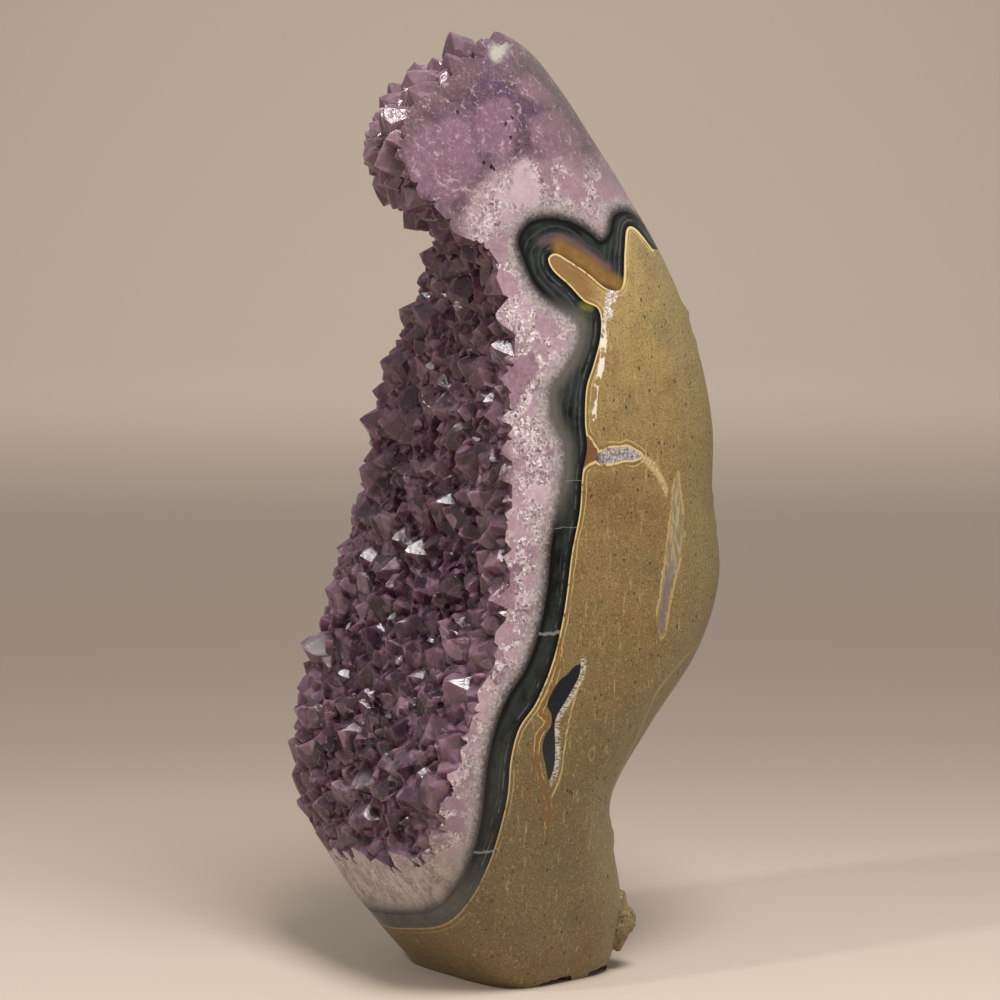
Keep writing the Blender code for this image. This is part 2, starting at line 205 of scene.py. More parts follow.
def rolled_body(name, sections, levels, sides):
    """A closed body: a grid rolled round the sections, in drawing units."""
    deselect()
    bpy.ops.mesh.primitive_grid_add(x_subdivisions=sides, y_subdivisions=levels, size=2)
    body = bpy.context.object
    body.name = body.data.name = name
    flat = get_places(body)
    column = np.rint((flat[:, 0] + 1) / 2 * sides).astype(int)
    row = np.rint((flat[:, 1] + 1) / 2 * levels).astype(int)

    heights = np.linspace(sections[0][0], sections[-1][0], levels + 1)
    fine = outline_points(sections, heights, np.linspace(0, math.tau, RING_STEPS))
    rings = np.empty((levels + 1, sides + 1, 3))
    for level, ring in enumerate(fine):
        step = np.linalg.norm(np.diff(ring, axis=0), axis=1)
        middle = (ring[1:, 0] + ring[:-1, 0]) / 2
        near = middle > ring[:, 0].max() - NEAR_SHARE * np.ptp(ring[:, 0])
        travelled = np.concatenate([[0], np.cumsum(step * np.where(near, NEAR_DENSITY, 1))])
        stops = np.linspace(0, travelled[-1], sides + 1)
        for axis in range(3):
            rings[level, :, axis] = np.interp(stops, travelled, ring[:, axis])
    set_places(body, rings[row, column])

    bpy.ops.object.mode_set(mode="EDIT")
    bpy.ops.mesh.select_all(action="SELECT")
    bpy.ops.mesh.remove_doubles(threshold=WELD)
    bpy.ops.mesh.select_all(action="DESELECT")
    bpy.ops.mesh.select_mode(type="EDGE")
    bpy.ops.mesh.select_non_manifold()
    bpy.ops.mesh.fill_holes(sides=0)
    bpy.ops.mesh.select_all(action="SELECT")
    bpy.ops.mesh.normals_make_consistent(inside=False)
    bpy.ops.object.mode_set(mode="OBJECT")
    return body


ground = rolled_body("ground_body", GROUND_SECTIONS, levels=340, sides=400)
print("The ground body has %d faces" % len(ground.data.polygons))

# %% [markdown]
# ## The borders between the layers
#
# Quartz met agate, and agate met basalt, along wavy lines. Both are drawn as heights on the polished side,
# from the upper back edge down to the base, with the finger of basalt that juts into the agate. A smooth
# curve through the points takes the corners out. Inside the stone the layers dip towards the far side.

# %% Borders
QUARTZ_BORDER = (
    (32, 186), (25, 192), (19.5, 193.5), (15.5, 192), (13.5, 188), (10.5, 186), (7, 188.5),
    (2, 191), (-4, 192), (-9.5, 191), (-13, 187), (-12, 182), (-9.5, 176), (-5, 171.5), (0, 168.5),
    (2.8, 165.5), (1.5, 160), (-3, 154), (-6.5, 150), (-6.5, 143), (-3.5, 137), (-3.5, 130),
    (-5.5, 122), (-8, 113), (-9.5, 102), (-12, 92), (-16, 83), (-21.5, 76), (-25, 69), (-27.5, 60),
    (-29, 48), (-31, 38), (-33.5, 28), (-35.5, 20), (-37.5, 8),
)
BASALT_BORDER = (
    (28, 184), (23, 189), (19.5, 189), (17.5, 183), (15.5, 174.5), (11, 174.2), (5.5, 178.3),
    (0.5, 181.5), (-3, 183.3), (-5.2, 182), (-4, 179), (0, 175.4), (4, 171.3), (8, 169), (8, 163),
    (5.5, 156), (3, 150), (2.2, 142), (2.5, 135.5), (1, 129), (0, 120), (-2.5, 110), (-4.2, 100),
    (-6, 92), (-9, 83), (-13.5, 74.5), (-18.5, 68.5), (-21, 61), (-22, 52), (-25, 41), (-28.5, 31),
    (-31, 24), (-33, 15), (-34, 6),
)
OUTSIDE = 110.0
BEHIND = ((OUTSIDE, -OUTSIDE / 4), (OUTSIDE, 184))
BEFORE = ((-OUTSIDE, 0), (-OUTSIDE, 260), (OUTSIDE, 260), (OUTSIDE, 186))
LAYER_LENGTH = 110.0
LAYER_DIP = np.array((3.0, -17.0))
LAYER_NEAR_X = 50.0
HAIRLINE = 0.02


def smooth_line(points, step=0.7):
    """A smooth curve through points, as closely spaced places."""
    ends = np.array(points, float)
    ends = np.vstack([2 * ends[0] - ends[1], ends, 2 * ends[-1] - ends[-2]])
    line = []
    for a, b, c, d in zip(ends, ends[1:], ends[2:], ends[3:]):
        stops = np.arange(0, 1, step / max(np.linalg.norm(c - b), step))[:, None]
        line.append(0.5 * (2 * b + (c - a) * stops + (2 * a - 5 * b + 4 * c - d) * stops**2
                           + (3 * b - a - 3 * c + d) * stops**3))
    return np.vstack(line + [ends[-2:-1]])


def sideways(line, offset):
    """The same line moved square to itself."""
    along = np.gradient(line, axis=0)
    along /= np.linalg.norm(along, axis=1)[:, None]
    return line + offset * np.stack([-along[:, 1], along[:, 0]], 1)


def dip_at(x):
    """How far a layer has moved in Y and Z at a place along X."""
    return ((LAYER_NEAR_X - x) / LAYER_LENGTH)[:, None] * LAYER_DIP


quartz_line = smooth_line(QUARTZ_BORDER)
basalt_line = smooth_line(BASALT_BORDER)
print("Quartz border %d points, basalt border %d" % (len(quartz_line), len(basalt_line)))

# %% [markdown]
# ## Cutting a layer out
#
# Each layer is the ground body cut with a slab whose outline is the layer's border. A flat filled curve with
# an extrusion makes the slab in one step, and its far end is moved along the dip. Boolean cuts keep the
# polish of the body and give both layers the same edge, a hairline apart.

# %% Slabs and cuts
def layer_slab(name, line, closing):
    deselect()
    curve = bpy.data.curves.new(name, "CURVE")
    curve.dimensions = "2D"
    curve.fill_mode = "BOTH"
    curve.extrude = LAYER_LENGTH / 2
    outline = np.vstack([line, closing])
    spline = curve.splines.new("POLY")
    spline.points.add(len(outline) - 1)
    for point, (y, z) in zip(spline.points, outline):
        point.co = (y, z, 0, 1)
    spline.use_cyclic_u = True
    slab = bpy.data.objects.new(name, curve)
    bpy.context.scene.collection.objects.link(slab)
    make_active(slab)
    bpy.ops.object.convert(target="MESH")

    y, z, x = get_places(slab).T
    x = LAYER_NEAR_X - LAYER_LENGTH / 2 + x
    set_places(slab, np.column_stack([x, np.stack([y, z], 1) + dip_at(x)]))
    bpy.ops.object.mode_set(mode="EDIT")
    bpy.ops.mesh.select_all(action="SELECT")
    bpy.ops.mesh.remove_doubles(threshold=SLAB_WELD)
    bpy.ops.mesh.normals_make_consistent(inside=False)
    bpy.ops.object.mode_set(mode="OBJECT")
    return slab


def cut(piece, cutter, operation="INTERSECT"):
    """Applies one Boolean; the fast solver is exact enough on closed bodies."""
    boolean = piece.modifiers.new(operation.lower(), "BOOLEAN")
    boolean.operation = operation
    boolean.object = cutter
    boolean.solver = "MANIFOLD"
    make_active(piece)
    bpy.ops.object.modifier_apply(modifier=boolean.name)
    return piece


def copy_of(piece, name):
    twin = piece.copy()
    twin.data = piece.data.copy()
    twin.name = twin.data.name = name
    bpy.context.scene.collection.objects.link(twin)
    return twin


quartz_side = layer_slab("quartz_side", quartz_line, BEFORE)
agate_side = layer_slab("agate_side", sideways(quartz_line, HAIRLINE), BEHIND)
basalt_inside = layer_slab("basalt_inside", basalt_line, BEHIND)
basalt_side = layer_slab("basalt_side", sideways(basalt_line, HAIRLINE), BEHIND)

agate = cut(cut(copy_of(ground, "agate"), agate_side), basalt_inside, "DIFFERENCE")
print("agate faces", len(agate.data.polygons))

# %% [markdown]
# ## The basalt and its weathered back
#
# The basalt's sides and base are ground, and its back is the skin that weathered in the soil. The back is
# pushed about along its own outward direction with a few sizes of noise, and the push fades out at the
# polished edge. A displace modifier would need a painted group for the fade; a formula is shorter.

# %% Basalt
BACK_LUMPS = ((0.07, 2.2), (0.19, 1.1), (0.55, 0.45), (1.5, 0.16))
BACK_SINK = 0.4
BACK_FACING = (0.52, 0.87)
SIDEWAYS_LOSS = 0.6
BACK_HEIGHTS = (3.0, 9.0, 176.0, 188.0)


def fade(value, start, end):
    t = np.clip((value - start) / (end - start), 0, 1)
    return t * t * (3 - 2 * t)


def vertex_normals(piece):
    flat = np.empty(len(piece.data.vertices) * 3)
    piece.data.vertex_normals.foreach_get("vector", flat)
    return flat.reshape(-1, 3)


def facing_back(normals):
    return normals[:, 1] - SIDEWAYS_LOSS * np.abs(normals[:, 0])


def weather_back(piece):
    """Pushes the back of a piece about."""
    places = get_places(piece)
    normals = vertex_normals(piece)
    low, low_end, high_start, high = BACK_HEIGHTS
    weather = fade(facing_back(normals), *BACK_FACING)
    weather *= fade(places[:, 2], low, low_end) * (1 - fade(places[:, 2], high_start, high))
    push = np.zeros(len(places))
    for index in np.flatnonzero(weather > 0):
        place = Vector(places[index])
        push[index] = sum(noise.noise(place * scale) * size for scale, size in BACK_LUMPS) - BACK_SINK
    set_places(piece, places + normals * (push * weather)[:, None])


basalt = copy_of(ground, "basalt")
weather_back(basalt)
cut(basalt, basalt_side)
print("basalt faces", len(basalt.data.polygons))

# %% [markdown]
# ## Broken places
#
# Low on the back a stub stands out where a piece broke off, and the back edge of the base is chipped. Each is
# a ball primitive pushed about by noise, one joined on and three taken away, because flat facets look like
# broken stone.

# %% Stub and chips
STUB = ((23, 17, 12.5), (6.5, 6.5, 8))
BREAK_LUMPS = ((1.7, 0.28), (4.1, 0.12))
BREAK_FACETS = (5, 0.05)
CHIPS = (((29, -2, -0.6), (4, 6, 2.6)), ((24.5, 11, -0.4), (5, 5.5, 3.2)), ((13, 21, -0.6), (7, 5, 2.6)))


def broken_stone(name, place, size):
    deselect()
    bpy.ops.mesh.primitive_ico_sphere_add(subdivisions=5, radius=1)
    stone = bpy.context.object
    stone.name = stone.data.name = name
    shaped = []
    for point in get_places(stone):
        point = Vector(point)
        (broad, tall), (narrow, low) = BREAK_LUMPS
        swell = 1 + tall * noise.noise(point * broad + Vector(place)) + low * noise.noise(point * narrow)
        swell += BREAK_FACETS[1] * noise.cell(point * BREAK_FACETS[0])
        shaped.append([c * s * swell + p for c, s, p in zip(point, size, place)])
    set_places(stone, shaped)
    return stone


stub = broken_stone("stub", *STUB)
cut(basalt, stub, "UNION")
for number, (place, size) in enumerate(CHIPS):
    chip = broken_stone("chip_%d" % number, place, size)
    cut(basalt, chip, "DIFFERENCE")
    bpy.data.objects.remove(chip, do_unlink=True)
print("basalt with its broken places:", len(basalt.data.polygons), "faces")

# %% [markdown]
# ## Amethyst points
#
# Every crystal is a six-sided prism that ends in six sloping faces, three of them often larger. A few masters
# are cut from a cylinder primitive, one bisect for each sloping face, and hundreds of copies are
# turned, sized and set.

# %% Crystal masters
POINT_FACE_ANGLE = math.radians(38.2)
MASTER_SQUASH = ((0.82, 1.0), (0.9, 1.1))
MASTER_LENGTH = 2.6
MASTER_ABOVE = 0.4
FACE_TOP = 0.1
FACE_SPREAD = (0.02, 0.34)
MASTER_SEED = 5
MASTERS = 10


def crystal_master(number, pick):
    """A crystal of radius 1 whose tip is near the origin, with its body below."""
    deselect()
    middle = MASTER_ABOVE - MASTER_LENGTH / 2
    bpy.ops.mesh.primitive_cylinder_add(vertices=6, radius=1, depth=MASTER_LENGTH, location=(0, 0, middle))
    crystal = bpy.context.object
    crystal.name = crystal.data.name = "crystal_master_%d" % number
    bpy.ops.object.transform_apply(location=True)
    squash = [pick.uniform(*share) for share in MASTER_SQUASH]
    set_places(crystal, get_places(crystal) * (*squash, 1))
    bpy.ops.object.mode_set(mode="EDIT")
    for face in range(6):
        angle = math.pi / 3 * face + math.pi / 6
        normal = Vector((math.cos(angle), math.sin(angle), 0)) * math.cos(POINT_FACE_ANGLE)
        normal.z = math.sin(POINT_FACE_ANGLE)
        setback = pick.uniform(0, FACE_TOP) + (face % 2) * pick.uniform(*FACE_SPREAD)
        bpy.ops.mesh.select_all(action="SELECT")
        bpy.ops.mesh.bisect(plane_co=(0, 0, setback - FACE_TOP), plane_no=normal,
                            use_fill=True, clear_outer=True)
    bpy.ops.object.mode_set(mode="OBJECT")
    return crystal


pick_master = random.Random(MASTER_SEED)
masters = [crystal_master(number, pick_master) for number in range(MASTERS)]
print("Crystal faces:", [len(master.data.polygons) for master in masters])

# %% [markdown]
# ## Where the crystals stand
#
# Points grow square to the quartz wall and leave no bare wall. They are scattered at random over it and kept
# a little apart: first the large ones, at their places in the CAD solid, then middling and small ones between
# them.

# %% Scattering
CRYSTAL_SEED = 11
CRYSTAL_SPACING = 8.4
CRYSTAL_RADIUS = (4.8, 6.8)
CRYSTAL_TIP_HEIGHT = (3.6, 6.6)
CRYSTAL_LEAN = 0.42
CRYSTAL_LOWEST = 24.0
CRYSTAL_BELOW_TOP = 0.5
CRYSTAL_FARTHEST_BACK = 6.0
CRYSTAL_OUTSIDE_GROUND = 3.0
SMALL_BIAS = 1.4
LOOK_UP, LOOK_ASIDE = 0.8, 0.02
CRYSTAL_TRIES = 30000
LANDMARK_CRYSTALS = (
    ((9, -15, 226), (-0.25, -0.4, 0.88), 5.5, 8.6),
    ((2, -12, 220), (-0.4, -0.6, 0.7), 4.5, 7.0),
    ((6, -30, 197), (-0.35, -0.95, -0.05), 5.0, 8.5),
    ((29, -16, 182), (-0.1, -0.9, -0.2), 4.2, 6.0),
)
# Each row of fillers is a spacing, radii, heights of the tip, lean, and how many places are tried.
FILLER_CRYSTALS = (
    (5.0, (3.2, 4.6), (1.8, 4.4), 0.55, 26000),
    (2.8, (1.6, 2.6), (0.8, 2.8), 0.7, 34000),
)


def inside_ground(points, margin):
    """Whether each point is in the ground body, or within a margin of it."""
    points = np.asarray(points, float)
    front, back, far, near, square, turn = smooth_rows(GROUND_SECTIONS, points[:, 2]).T
    turn = -np.radians(turn)
    x, y = points[:, 0] - (near + far) / 2, points[:, 1] - (back + front) / 2
    across = np.abs(np.cos(turn) * x - np.sin(turn) * y) / ((near - far) / 2 + margin)
    along = np.abs(np.sin(turn) * x + np.cos(turn) * y) / ((back - front) / 2 + margin)
    low_enough = points[:, 2] <= GROUND_SECTIONS[-1][0] + margin
    return (across**square + along**square < 1.0) & low_enough


def wall_places(heights, across):
    """Places on the front of the quartz wall, and the way that a crystal grows at each."""
    heights, across = np.array(heights), np.array(across)
    square = smooth_rows(ROOT_SECTIONS, heights)[:, 4]
    angles = -np.arccos(np.sign(across) * np.abs(across) ** (square / 2))[:, None]
    above = np.minimum(heights + LOOK_UP, ROOT_SECTIONS[-1][0])
    here = outline_points(ROOT_SECTIONS, heights, angles)[:, 0]
    beside = outline_points(ROOT_SECTIONS, heights, angles + LOOK_ASIDE)[:, 0] - here
    upward = outline_points(ROOT_SECTIONS, above, angles)[:, 0] - here
    normals = np.cross(beside, upward)
    return here, normals / np.maximum(np.linalg.norm(normals, axis=1), 1e-9)[:, None]


def draw_crystals(pick, count, radii, tips, lean):
    """Random heights, places across, leans, sizes and twists, in a fixed order of draws."""
    rows = []
    for _ in range(count):
        height = pick.uniform(CRYSTAL_LOWEST, ROOT_SECTIONS[-1][0] - CRYSTAL_BELOW_TOP)
        across = pick.uniform(-1, 1)
        tilt = [pick.gauss(0, 1) * lean / 2 for axis in range(3)]
        radius = radii[0] + (radii[1] - radii[0]) * pick.random() ** SMALL_BIAS
        twist = pick.uniform(0, math.tau)
        tip = pick.uniform(*tips)
        for face in range(6):
            pick.random(), pick.random()
        rows.append((height, across, *tilt, radius, tip, twist))
    return np.array(rows)


def scatter(pick, taken, spacing, radii, tips, lean, tries):
    """New crystals in free places of the wall, as (place, direction, radius, tip, twist)."""
    rows = draw_crystals(pick, tries, radii, tips, lean)
    places, normals = wall_places(rows[:, 0], rows[:, 1])
    allowed = inside_ground(places, CRYSTAL_OUTSIDE_GROUND) & (places[:, 1] <= CRYSTAL_FARTHEST_BACK)
    standing = np.array([other[0] for other in taken])
    found = []
    for index in np.flatnonzero(allowed):
        if np.linalg.norm(standing - places[index], axis=1).min() < spacing:
            continue
        standing = np.vstack([standing, places[index]])
        direction = Vector(normals[index] + rows[index, 2:5]).normalized()
        found.append((Vector(places[index]), direction, *rows[index, 5:8]))
    return found


pick_place = random.Random(CRYSTAL_SEED)
crystals = []
for place, direction, radius, tip in LANDMARK_CRYSTALS:
    for face in range(6):
        pick_place.random()
    crystals.append((Vector(place), Vector(direction).normalized(), radius, tip, pick_place.random()))
crystals += scatter(pick_place, crystals, CRYSTAL_SPACING, CRYSTAL_RADIUS, CRYSTAL_TIP_HEIGHT,
                    CRYSTAL_LEAN, CRYSTAL_TRIES)
for filler in FILLER_CRYSTALS:
    crystals += scatter(pick_place, crystals, *filler)
print("crystals:", len(crystals))

# %% [markdown]
# ## One crust
#
# Root and points grew as one mass, so they become one closed shell. Copies that only overlap would leave
# walls inside the clear stone, where light would stop. The crystals are dealt into sets in which none touches
# another, and each set is joined on with one Boolean.

# %% Growing the crust
ROOT_DEPTH = 7.0
ROOT_FROM = -1.2
SIDE_REACH, TIP_REACH = 1.35, 0.5


def sets_apart(found):
    """Crystals dealt into sets, so that no two in one set can touch."""
    sets = []
    for crystal in found:
        place, _, radius, tip, _ = crystal
        for members in sets:
            if all((place - m[0]).length > SIDE_REACH * (radius + m[2]) + TIP_REACH * (tip + m[3])
                   for m in members):
                members.append(crystal)
                break
        else:
            sets.append([crystal])
    return sets


def crystal_set(name, members, pick):
    """One mesh of crystals that stand apart, each a turned copy of a master."""
    places, faces = [], []
    for place, direction, radius, tip, twist in members:
        master = masters[pick.randrange(len(masters))].data
        turn = Vector((0, 0, 1)).rotation_difference(direction).to_matrix() @ Matrix.Rotation(twist, 3, "Z")
        start = sum(len(p) for p in places)
        local = np.array([vertex.co for vertex in master.vertices])
        long_root = local[:, 2] < ROOT_FROM
        local *= radius
        local[long_root, 2] = -ROOT_DEPTH - tip
        local[:, 2] += tip
        places.append(local @ np.array(turn).T + np.array(place))
        faces += [[start + corner for corner in face.vertices] for face in master.polygons]
    mesh = bpy.data.meshes.new(name)
    mesh.from_pydata(np.vstack(places), [], faces)
    grown = bpy.data.objects.new(name, mesh)
    bpy.context.scene.collection.objects.link(grown)
    return grown


crust = rolled_body("amethyst", ROOT_SECTIONS, levels=90, sides=150)
dealt = sets_apart(crystals)
pick_copy = random.Random(CRYSTAL_SEED + 1)
for number, members in enumerate(dealt):
    grown = crystal_set("crystal_set_%d" % number, members, pick_copy)
    cut(crust, grown, "UNION")
    bpy.data.objects.remove(grown, do_unlink=True)
print("The crust took %d sets and has %d faces" % (len(dealt), len(crust.data.polygons)))

# %% [markdown]
# ## Ground edges of the crust
#
# The wheel went through crystals and root alike. The crust is cut with the same slab and body as the layers,
# and the cut faces are marked as polished. Loose scraps are taken away, and so are pockets sealed between
# crystals, which would show as bubbles.

# %% Polished cut through the crust
def names_of(piece, slots):
    piece.data.materials.clear()
    for slot in slots:
        piece.data.materials.append(bpy.data.materials.get(slot) or bpy.data.materials.new(slot))


def keep_largest_shell(piece):
    make_active(piece)
    bpy.ops.object.mode_set(mode="EDIT")
    bpy.ops.mesh.select_all(action="SELECT")
    bpy.ops.mesh.separate(type="LOOSE")
    bpy.ops.object.mode_set(mode="OBJECT")
    shells = sorted(bpy.context.selected_objects, key=lambda shell: len(shell.data.polygons))
    for spare in shells[:-1]:
        bpy.data.objects.remove(spare, do_unlink=True)
    return shells[-1]


cut(crust, quartz_side)
for body, index in ((crust, 0), (ground, 1)):
    names_of(body, ("free amethyst faces", "polished quartz"))
    body.data.polygons.foreach_set("material_index", [index] * len(body.data.polygons))
cut(crust, ground)
crust = keep_largest_shell(crust)
crust.name = crust.data.name = "amethyst"
polished = sum(face.material_index for face in crust.data.polygons)
print("The crust has %d faces, %d of them polished" % (len(crust.data.polygons), polished))

# %% [markdown]
# ## Milky roots
#
# A point is clear and violet at its tip and milky towards its root. A clear crust alone would let light run
# through to the dark agate and look black, so a milky core a few millimetres under the wall sends it back
# through the violet.

# %% Milky core
CORE_DEPTH = 3.0
POLISH_COVER = 0.5
BORDER_COVER = 0.4


def inset(sections, front, sides):
    """The same sections, shrunk from the front, and from the sides and the back."""
    return tuple((z, a + front, b - sides, c + sides, d - sides, square, turn)
                 for z, a, b, c, d, square, turn in sections)


core_side = layer_slab("core_side", sideways(quartz_line, -BORDER_COVER), BEFORE)
core = rolled_body("milky_core", inset(ROOT_SECTIONS, CORE_DEPTH, CORE_DEPTH), levels=70, sides=110)
under_polish = inset(GROUND_SECTIONS, POLISH_COVER, POLISH_COVER)
core_ground = rolled_body("core_ground", under_polish, levels=120, sides=160)
cut(cut(core, core_side), core_ground)
core = keep_largest_shell(core)
core.name = core.data.name = "milky_core"
print("The milky core has %d faces" % len(core.data.polygons))

# %% [markdown]
# ## To the frame
#
# The pieces move into the frame, in metres, with their objects at the origin, ride on the part's one body and
# stand for the CAD nodes.

# %% Pieces in the frame
SMOOTH_UNDER = math.radians(14)

spares = [quartz_side, agate_side, basalt_inside, basalt_side, core_side, core_ground, ground, stub]
for spare in spares + masters:
    bpy.data.objects.remove(spare, do_unlink=True)
drawn = {}
for piece, node, slot in ((basalt, "basalt_matrix", "basalt"), (agate, "agate_band", "agate"),
                          (crust, "amethyst_crystals", "amethyst"), (core, "amethyst_crystals", "amethyst")):
    drawn[piece.name] = get_places(piece)
    set_places(piece, to_frame(drawn[piece.name]))
    make_active(piece)
    bpy.ops.object.shade_smooth_by_angle(angle=SMOOTH_UNDER)
    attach(piece, "root")
    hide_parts(node)
    piece.data.calc_loop_triangles()
    print("%s: %d triangles" % (piece.name, len(piece.data.loop_triangles)))

# %% [markdown]
# ## Measuring from the borders
#
# Banding, milky zones and columns follow the borders between the layers, which a pattern in plain space
# can't, and an image isn't allowed to carry the photograph. So each vertex stores how far it is from a border
# and how far along it, and the finishes read these numbers.

# %% Distances stored on the vertices
CHUNK = 3000


def in_layers(places):
    """Y and Z of places with the dip taken out, so that a layer has one outline all through the stone."""
    return places[:, 1:] - dip_at(places[:, 0])


def distance_to(line, places):
    """How far each place is from a line, and how far along the line its nearest point is."""
    start, reach = line[:-1], np.diff(line, axis=0)
    length = np.maximum(np.linalg.norm(reach, axis=1), 1e-6)
    travelled = np.concatenate([[0], np.cumsum(length)])[:-1]
    away, along = np.empty(len(places)), np.empty(len(places))
    for first in range(0, len(places), CHUNK):
        rows = slice(first, first + CHUNK)
        offset = places[rows, None] - start
        t = np.clip((offset * reach).sum(-1) / length**2, 0, 1)
        squares = ((offset - t[..., None] * reach) ** 2).sum(-1)
        best = squares.argmin(1)
        each = np.arange(len(best))
        away[rows] = np.sqrt(squares[each, best])
        along[rows] = travelled[best] + t[each, best] * length[best]
    return away, along


def inside_outline(outline, places):
    """Whether each place is inside a closed outline."""
    y1, z1 = outline.T
    y2, z2 = np.roll(outline, -1, axis=0).T
    rise = np.where(z2 == z1, 1e-9, z2 - z1)
    found = np.empty(len(places), bool)
    for first in range(0, len(places), CHUNK):
        y, z = places[first:first + CHUNK, None].transpose(2, 0, 1)
        crossed = ((z1 > z) != (z2 > z)) & (y < (y2 - y1) * (z - z1) / rise + y1)
        found[first:first + CHUNK] = crossed.sum(1) % 2 == 1
    return found


def depth_in(outline, places):
    """How deep each place is in a closed outline; below zero outside it."""
    closed = np.vstack([outline, outline[:1]])
    return np.where(inside_outline(outline, places), 1, -1) * distance_to(closed, places)[0]


def store(piece, name, values):
    attribute = piece.data.attributes.new(name, "FLOAT", "POINT")
    attribute.data.foreach_set("value", np.asarray(values, np.float32))


quartz_coarse = smooth_line(QUARTZ_BORDER, step=1.4)
basalt_coarse = smooth_line(BASALT_BORDER, step=1.1)
for piece in (crust, agate, basalt):
    flat = in_layers(drawn[piece.name])
    for name, line in (("quartz", quartz_coarse), ("rock", basalt_coarse)):
        away, along = distance_to(line, flat)
        store(piece, "from_" + name, away)
        if name == "quartz" or piece is basalt:
            store(piece, "along_" + name, along)
print("Distances stored on", [piece.name for piece in (crust, agate, basalt)])

# %% [markdown]
# ## Veins, the lens, pale lines and a painted highlight in the basalt
#
# Quartz filled a few cracks of the basalt: a short level vein, a long upright one, a cream blotch where they
# meet, and a navy-black lens of agate with a feathery fringe. Orange and cream lines run past the lens, and a
# pale line slants down to the waist. A white streak along the upper border is a painted highlight, drawn with
# a quartz crackle. Each is a small outline or a line, and the vertices store how far they are from it.

# %% Marks in the basalt
NOTCH = ((0.6, 139.2), (3.2, 138), (4.4, 136.3), (5.4, 134.9), (5.8, 133.3), (4.8, 132), (2.4, 131.2),
         (0.6, 130.4))
LEVEL_VEIN = ((4.5, 133.1), (6.6, 134.5), (9, 135.2), (11.8, 135.1), (14, 135.3), (15.8, 134.4),
              (18.4, 132.8), (16, 131.7), (13, 131.8), (9.9, 131.2), (5.9, 131.3))
BLOTCH = ((18.0, 133.2), (21.1, 132), (23.1, 130), (25.2, 126.5), (26.4, 123), (25.2, 122.4), (23.4, 126),
          (21.4, 128.2), (19.4, 130.2), (18, 131.6))
UPRIGHT_VEIN = ((29.3, 127.9), (30.8, 118.8), (31.2, 112.7), (30, 107.9), (27.8, 101.9), (25.7, 94.7),
                (24.4, 88.6), (22.5, 87.3), (22.0, 92.6), (23.0, 97.5), (24.4, 104.8), (26.0, 112),
                (27.3, 119.2), (28.2, 125.3))
DARK_LENS = ((-0.5, 82.9), (-1.3, 79.6), (-4.8, 74.5), (-8.2, 69.7), (-8.4, 64), (-8.6, 58.8), (-10.3, 54.8),
             (-11.4, 59), (-12.2, 62.8), (-11.6, 65.9), (-9.6, 68.5), (-9.5, 71.3), (-10.6, 73.9), (-7.2, 79),
             (-4.6, 80.6), (-2.6, 82.4))
CHAIN = ((-6.4, 89.2), (-7, 85.2), (-7.6, 81.2), (-8.9, 77.6), (-11, 74.7), (-12.6, 71.5), (-9.8, 69.8),
         (-13.2, 66), (-13.6, 60), (-11.8, 53.5), (-10, 49), (-10.5, 44))
FRINGE_LINE = ((-0.5, 83), (-1.6, 77.5), (-4.2, 70), (-5.8, 63), (-6.9, 56), (-9.3, 51))
LENS_MIDDLE = ((54.8, -10.3), (62, -10.2), (70, -9), (76, -6), (83, -1))
# The white streak by the upper border is a painted highlight, a lamp's reflection on the polished edge.
HIGHLIGHT_STREAK = ((12.6, 173.6), (11.3, 170.4), (10.1, 166.5), (8.8, 162.1), (8.2, 157.6), (7.3, 154.3),
               (5.7, 150.2), (5, 145.7), (4.7, 142.5))
SLANT = ((38.2, 85.1), (30.4, 80.4), (23.7, 74.9), (20.9, 70.2), (18.4, 64), (15.3, 58), (10.6, 48.3))
SKIN_FACING = (0.45, 0.8)
TURNED_FACING = (0.1, 0.4)

flat = in_layers(drawn[basalt.name])
marks = {}
for name, outline in (("notch", NOTCH), ("level_vein", LEVEL_VEIN), ("blotch", BLOTCH),
                      ("upright_vein", UPRIGHT_VEIN), ("lens", DARK_LENS)):
    marks[name] = depth_in(smooth_line(outline + outline[:1], step=1.0)[:-1], flat)
    store(basalt, name, marks[name])
for name, line in (("chain", CHAIN), ("slant", SLANT), ("fringe_line", FRINGE_LINE),
                   ("highlight_streak", HIGHLIGHT_STREAK)):
    store(basalt, name, distance_to(smooth_line(line, step=1.2), flat)[0])
lens_heights, lens_middles = zip(*LENS_MIDDLE)
store(basalt, "lens_side", flat[:, 0] - np.interp(flat[:, 1], lens_heights, lens_middles))
to_fill = np.minimum(distance_to(basalt_coarse, flat)[0], -np.maximum(marks["notch"], marks["level_vein"]))
store(basalt, "rim", np.maximum(to_fill, 0))
outward = vertex_normals(basalt)
store(basalt, "weathered", fade(facing_back(outward), *SKIN_FACING))
store(basalt, "turned", fade(outward[:, 1], *TURNED_FACING))
print("Marks stored on the basalt:", sorted(marks))

# %% [markdown]
# ## Marks in the knob
#
# The polished side of the knob cuts through a few large crystals: pale lobes between purple patches, a dark
# corner, one pale greenish flake near the top, and black specks. They are outlines as well, kept to the near
# side.

